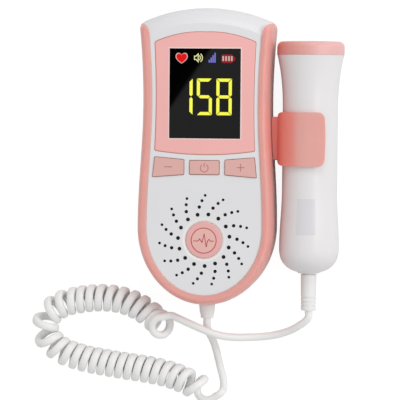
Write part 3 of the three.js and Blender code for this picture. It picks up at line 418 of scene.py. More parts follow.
def board_finish():
    """Green solder mask over the tracks of a board."""
    made, tree, shader = new_material("solder mask", {"Roughness": 0.32})
    tracks = local(tree, "TexBrick", {
        "Scale": 260, "Color1": linear(40, 110, 66), "Color2": linear(34, 98, 60),
        "Mortar": linear(88, 150, 92), "Mortar Size": 0.03,
    })
    bump = node(tree, "Bump", {"Distance": 0.00003, "Strength": 0.5})
    wire(
        tree, (tracks, "Color", shader, "Base Color"), (tracks, "Fac", bump, "Height"),
        (bump, 0, shader, "Normal"),
    )
    return made


def glass_black():
    """The screen's black glass, with faint smears."""
    made, tree, shader = new_material(
        "screen glass", {"Base Color": (0.0006, 0.0006, 0.0006, 1), "Specular IOR Level": 0.32}
    )
    smear = local(tree, "TexNoise", {"Scale": 60, "Detail": 4, "Distortion": 0.6})
    rough = node(tree, "MapRange", {"To Min": 0.015, "To Max": 0.05})
    wire(tree, (smear, "Fac", rough, "Value"), (rough, "Result", shader, "Roughness"))
    return made


PINK = plastic("salmon rail", (236, 168, 160), gloss=0.3, grain=0.12, depth=0.6, sheen=0.3)
PANEL_PINK = plastic("rose panel", (245, 182, 178), gloss=0.42, grain=0.16)
KEY_PINK = plastic("rose key", (226, 176, 169), gloss=0.42, grain=0.16)
BADGE_PINK = plastic("rose disc", (234, 177, 174), gloss=0.36)
PROBE_MID = (cap_low.x + cap_high.x) / 2
# The clip's left side is given a deeper red: painted shade, as if the light came from the right.
CLIP_PINK = plastic("salmon clip", (236, 172, 164), gloss=0.3, depth=0.35,
                    left=((248, 144, 131), PROBE_MID - 0.0085, PROBE_MID - 0.0035))
# The cap's left side is given a darker red: painted shade, as if the light came from the right.
CAP_PINK = plastic("salmon cap", (235, 184, 181), gloss=0.28, grain=0.08, depth=0.3,
                   left=((228, 154, 145), PROBE_MID - 0.0125, PROBE_MID + 0.0105))
WHITE = plastic("white shell", (229, 229, 231), gloss=0.28, grain=0.06, drift=0.015)
PROBE_WHITE = plastic("white handle", (231, 229, 230), gloss=0.24, grain=0.05, drift=0.015)
LABEL = plastic("blank label", (222, 220, 224), gloss=0.16, grain=0.03, drift=0.01)
CORD_WHITE = plastic("cord skin", (243, 243, 242), gloss=0.36, drift=0.025)
SLEEVE_WHITE = plastic("sleeve skin", (238, 237, 236), gloss=0.38, drift=0.02)
# Pale lip round the screen: its paleness is a painted highlight.
PAINTED_RIM_HIGHLIGHT = plastic("screen rim painted highlight", (245, 216, 212), grain=0.05)
GROOVE = plastic("engraved line", (190, 128, 120), gloss=0.55, grain=0.05)
# Warm dark tones for the gaps round the panel and the keys: painted shade.
PANEL_GAP_SHADE = plastic("panel gap painted shade", (206, 140, 132), gloss=0.6, grain=0.05)
KEY_GAP_SHADE = plastic("key gap painted shade", (176, 108, 100), gloss=0.6, grain=0.05)
RED_LINE = plastic("red line", (196, 74, 74), gloss=0.45, grain=0.05)
PALE_INLAY = plastic("pale inlay", (233, 184, 176))
# Whiter than the shell, for the ring round the badge: a painted highlight.
BADGE_RING_HIGHLIGHT = plastic("badge ring painted highlight", (237, 237, 235), grain=0.04, drift=0.01)
# Near black that stands for the shade in the speaker's holes: painted shade.
HOLE_SHADE_BLACK = plastic("painted hole shade", (3, 3, 3), gloss=0.85, grain=0.4, size=5000)
FACE_GREY = plastic("probe face", (184, 188, 192), gloss=0.45)
DARK = plastic("dark moulding", (44, 46, 48), gloss=0.5, grain=0.15)
MAT = plastic("silicone mat", (216, 216, 214), gloss=0.6, grain=0.2)
WRAP = plastic("cell wrap", (60, 110, 143), gloss=0.3, grain=0.03, coat=0.4)
STEEL = metal("nickel plate", (196, 198, 200))
BOARD = board_finish()
GLASS = glass_black()
YELLOW = lit("yellow sign", (255, 255, 84), 1.0)
RED_SIGN = lit("red sign", (240, 12, 14), 0.9)
PALE_SIGN = lit("pale sign", (244, 244, 180), 0.95)
BLUE_SIGN = lit("blue sign", (130, 130, 232), 0.85)
DARK_RED_SIGN = lit("dark red sign", (165, 30, 35), 0.8)
WHITE_SIGN = lit("white sign", (235, 215, 210), 0.7)
HEART_EDGE = lit("heart edge", (240, 195, 190), 0.8)


# Finishing a piece

ASIDES = (0, 0.0004, -0.0007, 0.0011)


def soften(bm, limit):
    bm.normal_update()
    for edge in bm.edges:
        shallow = edge.calc_face_angle(math.pi) < math.radians(limit)
        edge.smooth = len(edge.link_faces) == 2 and shallow
    for face in bm.faces:
        face.smooth = True


def add_object(name, bm, material=None):
    """An object of the scene from a bmesh, which is used up."""
    mesh = bpy.data.meshes.new(name)
    bm.to_mesh(mesh)
    bm.free()
    if material:
        mesh.materials.append(material)
    made = bpy.data.objects.new(name, mesh)
    bpy.context.scene.collection.objects.link(made)
    return made


def finish_piece(bm, name, material, stands_for=(), body="root", limit=35, placed=False):
    """Turns the mesh into a piece in the row frame that rides on a body."""
    if not placed:
        bmesh.ops.transform(bm, matrix=TO_ROW, verts=bm.verts)
    bmesh.ops.remove_doubles(bm, verts=bm.verts, dist=2e-6)
    bmesh.ops.recalc_face_normals(bm, faces=bm.faces)
    soften(bm, limit)
    piece = add_object(name, bm, material)
    if body:
        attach(piece, body)
    if stands_for:
        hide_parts(*stands_for)
    even = piece.modifiers.new("even shading", "WEIGHTED_NORMAL")
    even.keep_sharp = True
    return piece


def reach(mesh):
    """The lowest and highest place of the mesh along each axis."""
    return [[pick(v.co[i] for v in mesh.vertices) for i in range(3)] for pick in (min, max)]


def open_edges(mesh):
    bm = bmesh.new()
    bm.from_mesh(mesh)
    count = sum(len(e.link_faces) != 2 for e in bm.edges)
    bm.free()
    return count


def flaws(made, body, operation):
    """How far a cut's result is from whole: new open edges, or parts past its own solid."""
    if not made.polygons:
        return 1e6
    count = max(open_edges(made) - open_edges(body), 0)
    if operation != "UNION":
        (low, high), (body_low, body_high) = reach(made), reach(body)
        if any(low[i] < body_low[i] - 0.01 or high[i] > body_high[i] + 0.01 for i in range(3)):
            count += 1e5
    return count


def carve(bm, tools, operation="DIFFERENCE"):
    """The solid with other solids cut from it, or kept only inside them. Takes and gives a bmesh.

    The solver now and then fails where faces lie in one plane, so a failed cut is made again, a
    hair aside."""
    scratch = []
    for source in [bm] + tools:
        bmesh.ops.recalc_face_normals(source, faces=source.faces)
        scratch.append(add_object("scratch", source))
    body = scratch[0]
    for tool in scratch[1:]:
        cut = body.modifiers.new("cut", "BOOLEAN")
        cut.operation = operation
        cut.solver = "EXACT"
        cut.object = tool
        tries = []
        for aside in ASIDES:
            tool.location = (aside, 0.7 * aside, 1.3 * aside)
            bpy.context.view_layer.update()
            made = bpy.data.meshes.new_from_object(
                body.evaluated_get(bpy.context.evaluated_depsgraph_get())
            )
            tries.append((flaws(made, body.data, operation), len(tries), made))
            if tries[-1][0] == 0:
                break
        tries.sort(key=lambda e: e[:2])
        if len(tries) > 1:
            print("cut made again, flaws left:", tries[0][0])
        for spare in tries[1:]:
            bpy.data.meshes.remove(spare[2])
        body.modifiers.clear()
        old, body.data = body.data, tries[0][2]
        bpy.data.meshes.remove(old)
    made = bmesh.new()
    made.from_mesh(body.data)
    bmesh.ops.triangulate(made, faces=[f for f in made.faces if len(f.verts) > 4])
    for thing in scratch:
        mesh = thing.data
        bpy.data.objects.remove(thing)
        bpy.data.meshes.remove(mesh)
    bmesh.ops.remove_doubles(made, verts=made.verts, dist=0.002)
    bmesh.ops.dissolve_degenerate(made, edges=made.edges, dist=0.001)
    return made


def outline_face(bm, points, z):
    verts = [bm.verts.new((x, y, z)) for x, y in points]
    return bm.faces.new(verts)


def prism(points, z0, z1):
    """An outline drawn up from one height to another."""
    bm = bmesh.new()
    face = outline_face(bm, points, z0)
    raised = bmesh.ops.extrude_face_region(bm, geom=[face])["geom"]
    top = [v for v in raised if isinstance(v, bmesh.types.BMVert)]
    bmesh.ops.translate(bm, vec=(0, 0, z1 - z0), verts=top)
    bmesh.ops.recalc_face_normals(bm, faces=bm.faces)
    return bm


def block(x0, x1, y0, y1, z0, z1):
    bm = bmesh.new()
    size = Matrix.Diagonal((x1 - x0, y1 - y0, z1 - z0, 1))
    middle = Matrix.Translation(((x0 + x1) / 2, (y0 + y1) / 2, (z0 + z1) / 2))
    bmesh.ops.create_cube(bm, size=1, matrix=middle @ size)
    return bm


def post(radius, x, y, z0, z1, sides=32):
    bm = bmesh.new()
    bmesh.ops.create_cone(
        bm, cap_ends=True, segments=sides, radius1=radius, radius2=radius, depth=z1 - z0,
        matrix=Matrix.Translation((x, y, (z0 + z1) / 2)),
    )
    return bm


def merge(parts):
    """Several solids as one bmesh, side by side."""
    whole = parts[0]
    for part in parts[1:]:
        mesh = bpy.data.meshes.new("scratch")
        part.to_mesh(mesh)
        part.free()
        whole.from_mesh(mesh)
        bpy.data.meshes.remove(mesh)
    return whole


def spun(profile, steps, at=(0, 0, 0)):
    """A turned solid about an upright line, from pairs of radius and height."""
    bm = bmesh.new()
    verts = [bm.verts.new((r, 0, z)) for r, z in profile]
    edges = [bm.edges.new(pair) for pair in zip(verts, verts[1:])]
    bmesh.ops.spin(
        bm, geom=verts + edges, cent=(0, 0, 0), axis=(0, 0, 1), angle=math.tau, steps=steps,
        use_merge=True,
    )
    bmesh.ops.remove_doubles(bm, verts=bm.verts, dist=1e-4)
    bmesh.ops.recalc_face_normals(bm, faces=bm.faces)
    bmesh.ops.translate(bm, vec=at, verts=bm.verts)
    return bm


def bevel_edges(bm, edges, offset, segments):
    bmesh.ops.bevel(
        bm, geom=edges, offset=offset, segments=segments, profile=0.5, affect="EDGES", material=-1,
        clamp_overlap=True,
    )


def bezier(a, h, b, steps):
    """A curve from a to b, with its handle at h."""
    points = []
    for i in range(steps + 1):
        t = i / steps
        points.append(tuple(
            (1 - t) ** 2 * p + 2 * t * (1 - t) * q + t * t * r for p, q, r in zip(a, h, b)
        ))
    return points


def quarter(steps, first=0):
    """Sine and cosine at equal steps of a quarter turn."""
    for i in range(first, steps + 1):
        turn = math.pi / 2 * i / steps
        yield math.sin(turn), math.cos(turn)


def arc(cx, cy, radius, start, end, steps):
    """Points on a circle, from one angle in degrees to another."""
    points = []
    for i in range(steps + 1):
        turn = math.radians(start + (end - start) * i / steps)
        points.append((cx + radius * math.cos(turn), cy + radius * math.sin(turn)))
    return points


def toward(a, b, distance):
    """The point at a distance from a on the way to b."""
    share = distance / math.hypot(b[0] - a[0], b[1] - a[1])
    return tuple(p + (q - p) * share for p, q in zip(a, b))


def mirrored(right):
    return right + [(-x, y) for x, y in reversed(right) if abs(x) > 1e-9]


# Sizes and outlines, as in the CAD

WAIST, WIDE, SHOULDER = 29.4, 31.7, 31.3
TOP, FOOT = 68.5, -68.5
CURVE = 36
LOWER = FOOT + CURVE
WAIST_Y = TOP - 43.3
SHOULDER_Y = TOP - 8
ARCH = 73
RAIL = 5.1
TOP_SLOPE, CREST = 7.5, 0.56
FACE, DEPTH, PARTING, PLATE = 29.2, 30, 20, 27.2
WALL, ROUND = 2.2, 5
SEAT, SEAM = 0.3, 0.04
FLARE_Y = TOP - 17
SPEAKER_Y = FOOT + 30.55
BOOT_Z = 13
BELOW, ABOVE = -4, DEPTH + 4

DOOR_HALF, TONGUE_HALF = 16.3, 14.5
DOOR_STEP, DOOR_TOP = -9.7, 2.3
DOOR_LEDGE, DOOR_INSIDE = 1.3, 2.4
GROOVES = (-42, -39.6, -37.2, -34.8, -32.4)

SCREEN_HALF, SCREEN_TOP, SCREEN_FOOT = 16.3, TOP - 18.8, TOP - 59.8
PIXEL = 2 * SCREEN_HALF / 71.3
SIGN = FACE + 0.3
SIGN_TOP = SIGN + 0.02
KEY_TOP = FACE + 0.7
KEYS = {"minus": (-16.7, TOP - 73), "power": (0, TOP - 73.1), "plus": (16.7, TOP - 73)}
GRILLE = [(11.95, 0.92, 0), (15.3, 0.82, -6), (18.1, 0.74, -11.2), (20.55, 0.66, -15.6)]

PROBE_X = (PROBE_MID - HOME.x) / MM
PROBE_Y = (cap_high.y - HOME.y) / MM
PROBE_Z = (cap_low.z + cap_high.z) / 2 / MM
BARREL, TAIL, HEAD = 12.7, 13.8, 15.5
CAP_LENGTH, FLARE_END, TAIL_START, TAIL_WIDEST, PROBE_LENGTH = 6.2, 31.7, 67.6, 95.2, 106.7
CLIP_Y, CLIP_HALF = PROBE_Y - FLARE_END - 13, 12.3
LABEL_Y, LABEL_HALF = -26.7, 8.2

screw_low, screw_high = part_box("case_screw_3")
LOW_SCREW_Y = ((screw_low.y + screw_high.y) / 2 - HOME.y) / MM
SCREWS = [(x, y) for y in (TOP - 22.1, LOW_SCREW_Y) for x in (-21, 21)]


def half_width(y):
    """Half the case's width, least at the waist."""
    if y < WAIST_Y:
        share = (y - LOWER) / (WAIST_Y - LOWER)
        return WAIST + (WIDE - WAIST) * (1 + math.cos(math.pi * share)) / 2
    share = (y - WAIST_Y) / (SHOULDER_Y - WAIST_Y)
    return WAIST + (SHOULDER - WAIST) * share * share


def right_side(inset, end):
    """The right edge from the foot's middle round the corner and up to a height."""
    points = []
    for i in range(37):
        turn = math.pi / 2 * (i / 36 - 1)
        x = 0 if i == 0 else (WIDE - inset) * math.cos(turn)
        points.append((x, LOWER + (CURVE - inset) * math.sin(turn)))
    for i in range(1, 41):
        y = LOWER + (end - LOWER) * i / 40
        points.append((half_width(y) - inset, y))
    return points


def arch_point(x, inset):
    return (x, TOP - ARCH + math.sqrt((ARCH - inset) ** 2 - x * x))


def case_outline(inset, top_inset):
    """The case's edge, with a turn where each side meets the arched top."""
    corner = arch_point(SHOULDER - inset, top_inset)
    for _ in range(3):
        corner = arch_point(half_width(corner[1]) - inset, top_inset)
    turn = max(3.2 - inset, 0.9)
    side_end = corner[1] - turn
    right = right_side(inset, side_end)
    arch_start = arch_point(corner[0] - turn, top_inset)
    right += bezier((half_width(side_end) - inset, side_end), corner, arch_start, 8)[1:]
    for i in range(1, 25):
        right.append(arch_point(arch_start[0] * (1 - i / 24), top_inset))
    return mirrored(right)


def face_outline(grow, top=TOP + 6):
    """The edge between the rail and the white face, which flares to both sides at the top."""
    right = right_side(RAIL - grow, FLARE_Y)
    start = right[-1]
    end = (start[0] + 6, FLARE_Y + 10)
    right += bezier(start, (start[0], end[1]), end, 16)[1:]
    return mirrored(right + [(end[0], top), (0, top)])


def back_rings():
    """The rounded back: inset at the sides, inset at the top, and height."""
    rings = [(ROUND * (1 - s), ROUND * (1 - s), ROUND * (1 - c)) for s, c in quarter(8)]
    return rings + [(0, 0, 10), (0, 0, 15)]


def case_solid(rings):
    return drawn_through([[(x, y, z) for x, y in case_outline(a, b)] for a, b, z in rings])


def rear_shell():
    crest = RAIL * CREST
    rings = back_rings()
    for s, c in quarter(16):
        rings.append((crest * (1 - c), TOP_SLOPE * CREST * (1 - c), PARTING + 10 * s))
    for i in range(1, 6):
        inset = crest + (RAIL + SEAT - crest) * i / 5
        rings.append((inset, TOP_SLOPE * inset / RAIL, DEPTH - 0.6 * (i / 5) ** 2))
    bm = case_solid(rings)
    room = prism(case_outline(WALL, WALL), WALL, PARTING)
    pad = block(-18.1, 18.1, FOOT - 4, 3.8, 0, 4.2)
    bay = block(-16.6, 16.6, FOOT + 10.6, 2.9, 0, 19.3)
    wells = [post(4.6, x, y, 0, 7.7) for x, y in SCREWS]
    room = carve(room, [pad, bay] + wells)
    bm = carve(bm, [room, prism(face_outline(SEAM), PARTING - SEAT, ABOVE)])
    half, tongue, inside = DOOR_HALF + SEAT, TONGUE_HALF + SEAT, DOOR_INSIDE + SEAT
    step, top = DOOR_STEP + SEAT, DOOR_TOP + SEAT
    cuts = [
        block(-15, 15, FOOT + 12.2, 1.3, BELOW, 17.7),
        block(-half, half, FOOT - 4, step, BELOW, inside),
        block(-tongue, tongue, -10, top, BELOW, inside),
        block(-half, half, -10, top, DOOR_LEDGE - SEAT, inside),
    ]
    for x, y in SCREWS:
        cuts += [post(3, x, y, BELOW, 5.5), post(1.5, x, y, BELOW, 12)]
    bore = post(3.5, 0, 0, -4, 4)
    lying = Matrix.Rotation(math.pi / 2, 3, "X")
    bmesh.ops.rotate(bore, cent=(0, 0, 0), matrix=lying, verts=bore.verts)
    bmesh.ops.translate(bore, vec=(0, FOOT + 2, BOOT_Z), verts=bore.verts)
    cuts += [bore, block(
        WAIST - 6.2, WIDE + 4, CLIP_Y - 7.3, CLIP_Y + 7.3, PROBE_Z - 5 - SEAT, PROBE_Z + SEAT
    )]
    bm = carve(bm, cuts)
    finish_piece(bm, "rear_case", PINK, ["rear_shell"], limit=30)


def battery_door():
    """The back's sliding door: grooves for the thumb and a plain arrow the way it slides."""
    half, tongue = DOOR_HALF, TONGUE_HALF
    slab = block(-half, half, FOOT - 4, DOOR_STEP, SEAT, DOOR_INSIDE)
    slab = carve(slab, [block(-tongue, tongue, -11, DOOR_TOP, SEAT, DOOR_INSIDE)], "UNION")
    slab = carve(slab, [block(-half, half, -11, DOOR_TOP, DOOR_LEDGE, DOOR_INSIDE)], "UNION")
    bm = carve(case_solid(back_rings()), [slab], "INTERSECT")
    cuts = [block(-8, 8, y - 0.55, y + 0.55, BELOW, 0.85) for y in GROOVES]
    cuts.append(prism([(-3.2, -46), (0, -50.5), (3.2, -46)], BELOW, 0.75))
    bm = carve(bm, cuts)
    finish_piece(bm, "door", PINK, ["battery_door"], "door", 30)


def panel_outline(inset, steps=24):
    """The inset panel round the screen: arched top, waisted sides, bowed lower edge."""
    top, crown = TOP - 15.9 - inset, TOP - 11.3 - inset
    foot = TOP - 65.4 + inset
    middle, low = (top + foot) / 2, foot - 1.8
    waist = WAIST - RAIL - 1.9
    foot_half, top_half = waist + 0.6 - inset, waist + 0.8 - inset
    waist -= inset
    corner, peak = (foot_half, foot), (top_half, top)
    low_edge = bezier((0, low), (foot_half / 2, low), corner, steps)[:-1]
    side = bezier(corner, (2 * waist - (foot_half + top_half) / 2, middle), peak, steps)
    arch = bezier(peak, (top_half / 2, crown + (crown - top) / 8), (0, crown), steps)
    lead = low_edge[-1]
    span = math.hypot(foot_half - lead[0], foot - lead[1])
    right = low_edge + bezier(
        toward(corner, lead, min(0.9, span)), corner, toward(corner, side[1], 0.9), 4
    )
    right += side[1:-1]
    right += bezier(toward(peak, side[-2], 0.9), peak, toward(peak, arch[1], 0.9), 4) + arch[1:]
    right[0] = (0, right[0][1])
    right[-1] = (0, right[-1][1])
    return mirrored(right)


def key_outline(which, grow):
    outer_top, outer_foot = TOP - 68.5 + grow, TOP - 77.6 - grow
    if which == "power":
        half = 6.75 + grow
        top, foot = TOP - 70 + grow, TOP - 76.3 - grow
        return [(half, top), (-half, top), (-half, foot), (half, foot)]
    points = [
        (-9.5 + grow, TOP - 69.7 + grow), (-22.9 - grow, outer_top), (-23.9 - grow, outer_foot),
        (-9.5 + grow, TOP - 76.4 - grow),
    ]
    if which == "plus":
        points = [(-x, y) for x, y in points][::-1]
    return points


def rounded(points, radius, steps=5):
    """The outline with its corners rounded off."""
    made = []
    for i, corner in enumerate(points):
        before, after = points[i - 1], points[(i + 1) % len(points)]
        made += bezier(toward(corner, before, radius), corner, toward(corner, after, radius), steps)
    return made


def on_speaker(pairs, steps=96, aside=0):
    """A solid turned about the speaker's middle, its heights counted from the white face."""
    return spun([(r, FACE + z) for r, z in pairs], steps, (0, SPEAKER_Y - aside, 0))


def grille_places():
    """The speaker's holes, in four circles of fifteen, each turned on from the one inside it."""
    for circle, radius, turned in GRILLE:
        for arm in range(15):
            turn = math.radians(104.3 + turned + 24 * arm)
            yield circle * math.cos(turn), SPEAKER_Y + circle * math.sin(turn), radius


def front_shell():
    rings = back_rings()[-2:]
    for degrees in [4 * i for i in range(18)] + [72, 76, 80, 84, 87, 90]:
        turn = math.radians(degrees)
        share = 1 - math.cos(turn)
        slope = 9.2 * share
        if degrees >= 70:
            slope = 6.35 + (TOP_SLOPE - 6.35) * ((degrees - 70) / 20) ** 1.2
        rings.append((RAIL * share, slope, FACE - 10 + 10 * math.sin(turn)))
    bm = carve(case_solid(rings), [prism(face_outline(0), PARTING, ABOVE)], "INTERSECT")
    hollow = case_solid([(WALL, WALL, 16), (WALL, WALL, PARTING), (WALL, 5.3, PLATE)])
    hollow = carve(hollow, [prism(face_outline(-1.2), 15, PLATE + 2)], "INTERSECT")
    dish = on_speaker([
        (0, -1.2), (8.4, -1.2), (8.4, -0.5), (8.8, -0.44), (9.3, -0.26), (9.7, -0.07),
        (9.9, -0.012), (9.96, 0.03), (9.96, 4), (0, 4),
    ])
    opening = SCREEN_HALF - 1
    cuts = [
        hollow,
        prism(panel_outline(-SEAT), FACE - 1.2, ABOVE),
        block(-opening, opening, SCREEN_FOOT + 1, SCREEN_TOP - 1, PLATE - 4, FACE),
        dish,
    ]
    for which in KEYS:
        cuts.append(prism(rounded(key_outline(which, 0.26), 0.6), PLATE - 4, FACE + 4))
    bm = carve(bm, cuts)
    bm = carve(bm, [merge([post(r, x, y, PLATE - 1, FACE + 1, 18) for x, y, r in grille_places()])])
    bm = merge([bm] + [post(3.2, x, y, 8, PLATE + 0.5, 24) for x, y in SCREWS])
    finish_piece(bm, "front_case", WHITE, ["front_shell"], limit=30)


def grille_shade_plugs():
    """Black plugs that fill the speaker's holes to just under the face: painted shade in the holes.
    """
    plugs = [post(r + 0.05, x, y, PLATE + 0.2, FACE - 0.06, 18) for x, y, r in grille_places()]
    finish_piece(merge(plugs), "painted_hole_plugs", HOLE_SHADE_BLACK)


def plate(points, z0, z1, bevel, segments=2):
    """A prism with its upper edges rounded."""
    bm = prism(points, z0, z1)
    edges = [e for e in bm.edges if all(abs(v.co.z - z1) < 1e-4 for v in e.verts)]
    bevel_edges(bm, edges, bevel, segments)
    return bm


def screen_corners(grow):
    half, top, foot = SCREEN_HALF + grow, SCREEN_TOP + grow, SCREEN_FOOT - grow
    return [(half, top), (-half, top), (-half, foot), (half, foot)]


def display_bezel():
    bm = plate(panel_outline(0), FACE - 0.9, FACE + 0.2, 0.35, 3)
    bm = carve(bm, [prism(screen_corners(0.3), FACE - 2, FACE + 4)])
    finish_piece(bm, "screen_panel", PANEL_PINK, ["display_bezel"])


def shadow_lines():
    """Thin warm lines of painted shade down in the gaps round the panel and the keys."""
    ring = carve(
        prism(panel_outline(-SEAT + 0.02), FACE - 1.1, FACE - 0.18),
        [prism(panel_outline(0.02), FACE - 2, FACE + 1)],
    )
    finish_piece(ring, "painted_panel_gap", PANEL_GAP_SHADE)
    rings = []
    for which in KEYS:
        outer = prism(rounded(key_outline(which, 0.25), 0.58), FACE - 1.6, FACE - 0.3)
        inner = prism(rounded(key_outline(which, 0.08), 0.52), FACE - 3, FACE + 1)
        rings.append(carve(outer, [inner]))
    finish_piece(merge(rings), "painted_key_gaps", KEY_GAP_SHADE)


def screen_rim():
    # A raised lip round the screen opening, paler than the panel: a painted highlight on a real
    # lip.
    bm = plate(rounded(screen_corners(0.62), 0.5, 3), FACE + 0.05, FACE + 0.28, 0.08)
    bm = carve(bm, [prism(screen_corners(0.08), FACE - 2, FACE + 4)])
    finish_piece(bm, "screen_rim", PAINTED_RIM_HIGHLIGHT)


def display_lens():
    bm = plate(rounded(screen_corners(0), 0.25, 3), FACE - 0.9, SIGN, 0.06)
    finish_piece(bm, "screen_glass", GLASS, ["display_lens"], limit=20)


def sign(bm, name, material):
    finish_piece(bm, name, material, limit=20)


def on_screen(px, py):
    """A place on the lens, from its pixel in the photo, where the screen is 71.3 by 89.4."""
    x = -SCREEN_HALF + (px - 169.3) * PIXEL
    y = SCREEN_TOP - (py - 48.3) * (SCREEN_TOP - SCREEN_FOOT) / 89.4
    return x, y


def screen_shape(points):
    return prism([on_screen(x, y) for x, y in points][::-1], SIGN, SIGN_TOP)


def digit(x0, x1, lit_parts):
    """The lit segments of one digit, with mitred ends and thin gaps, from the photo's pixels."""
    y0, ym, y1 = 78, 96.25, 114.5
    t, half, gap = 3.15, 1.55, 0.4
    inner, outer = t + gap, half + gap
    parts = {
        "a": [(x0 + gap, y0), (x1 - gap, y0), (x1 - inner, y0 + t), (x0 + inner, y0 + t)],
        "d": [(x0 + gap, y1), (x0 + inner, y1 - t), (x1 - inner, y1 - t), (x1 - gap, y1)],
        "g": [(x0 + outer, ym), (x0 + inner, ym - half), (x1 - inner, ym - half), (x1 - outer, ym),
              (x1 - inner, ym + half), (x0 + inner, ym + half)],
    }
    for key, x, way in (("f", x0, 1), ("b", x1, -1)):
        side = [(x, y0 + gap), (x + way * t, y0 + inner), (x + way * t, ym - outer),
                (x + way * half, ym - gap), (x, ym - outer)]
        low = [(px, 2 * ym - py) for px, py in side]
        upper, lower = ("f", "e") if key == "f" else ("b", "c")
        parts[upper] = side if way > 0 else side[::-1]
        parts[lower] = low[::-1] if way > 0 else low
    return [screen_shape(parts[key]) for key in lit_parts]


def digits():
    parts = digit(177.3, 192.6, "bc") + digit(196.8, 212.1, "afgcd") + digit(216.5, 232, "abcdefg")
    sign(merge(parts), "readout", YELLOW)


def heart_points(cx, cy, size):
    """A plump heart, given its middle and width."""
    right = bezier((0, 5.3), (5.7, 2), (6, -1.5), 10)
    for i in range(15):
        turn = math.radians(10 + 138 * i / 14)
        right.append((2.95 + 3.05 * math.cos(turn), -1.9 - 3.3 * math.sin(turn)))
    whole = right + [(0, -2.6)] + [(-x, y) for x, y in reversed(right[1:])]
    return [(cx + x * size / 12, cy - y * size / 12) for x, y in whole][::-1]


def ring_points(cx, cy, inner, outer, start, end, steps=16):
    """Part of a flat ring."""
    inside = arc(cx, cy, inner, start, end, steps)
    return arc(cx, cy, outer, start, end, steps) + inside[::-1]


def screen_signs():
    cx, cy = on_screen(181.3, 57.9)
    sign(prism(heart_points(cx, cy, 12.3 * PIXEL), SIGN, SIGN + 0.015), "heart_edge", HEART_EDGE)
    sign(prism(heart_points(cx, cy, 10.6 * PIXEL), SIGN, SIGN + 0.03), "heart_sign", RED_SIGN)
    cx, cy = on_screen(196.4, 57.5)
    cone = [(-1.2, 0.95), (-0.35, 0.95), (0.9, 2.3), (0.9, -2.3), (-0.35, -0.95), (-1.2, -0.95)]
    hollow = [(-0.8, 0.55), (-0.15, 0.55), (0.5, 1.3), (0.5, -1.3), (-0.15, -0.55), (-0.8, -0.55)]
    cone, hollow = [[(cx + x, cy + y) for x, y in part][::-1] for part in (cone, hollow)]
    parts = [carve(prism(cone, SIGN, SIGN_TOP), [prism(hollow, SIGN - 1, SIGN + 1)])]
    for r in (1.15, 2.1):
        parts.append(prism(ring_points(cx + 0.35, cy, r, r + 0.4, -52, 52), SIGN, SIGN_TOP))
    sign(merge(parts), "sound_sign", PALE_SIGN)
    cx, cy = on_screen(212.1, 57.4)
    left, low = cx - 1.65, cy - 2.2
    bars = []
    for i, high in enumerate((1.3, 2.3, 3.4, 4.5)):
        x = left + i * 0.87
        bars.append(block(x, x + 0.62, low, low + high, SIGN, SIGN_TOP))
    sign(merge(bars), "signal_sign", BLUE_SIGN)
    cell = [
        (222.6, 54), (231.6, 54), (232.6, 55.2), (234.9, 56.6), (235.3, 58.2), (234.9, 59.8),
        (232.6, 61.3), (231.6, 62.5), (222.6, 62.5), (221.2, 61.1), (221.2, 55.4),
    ]
    sign(screen_shape(cell), "cell_sign", DARK_RED_SIGN)
    marks = []
    for px in (223.1, 226, 228.9, 231.7):
        x, y = on_screen(px, 58.1)
        marks.append(block(x - 0.36, x + 0.36, y - 1.1, y + 1.1, SIGN + 0.01, SIGN + 0.035))
    sign(merge(marks), "cell_sign_bars", WHITE_SIGN)


def key_marks(which, cx, cy, z0, z1, wide=0.4):
    """The solids of a key's engraved mark."""
    half = wide / 2
    across = block(cx - 1.8, cx + 1.8, cy - half, cy + half, z0, z1)
    if which == "minus":
        return [across]
    if which == "plus":
        return [across, block(cx - half, cx + half, cy - 1.8, cy + 1.8, z0 - 0.01, z1 + 0.01)]
    ring = prism(ring_points(cx, cy - 0.3, 1.6, 2.0, 125, 415, 28), z0, z1)
    return [ring, block(cx - half, cx + half, cy + 0.2, cy + 2.1, z0, z1)]


def key(which):
    """A key with its engraved mark, and the mark's darker ground."""
    bm = plate(rounded(key_outline(which, 0), 0.5), FACE - 2.2, KEY_TOP, 0.3, 3)
    bm = carve(bm, key_marks(which, *KEYS[which], KEY_TOP - 0.25, KEY_TOP + 1))
    body = which + "_key"
    finish_piece(bm, which + "_key", KEY_PINK, [which + "_button"], body)
    fill = merge(key_marks(which, *KEYS[which], KEY_TOP - 0.26, KEY_TOP - 0.12, 0.38))
    finish_piece(fill, which + "_mark", GROOVE, body=body)


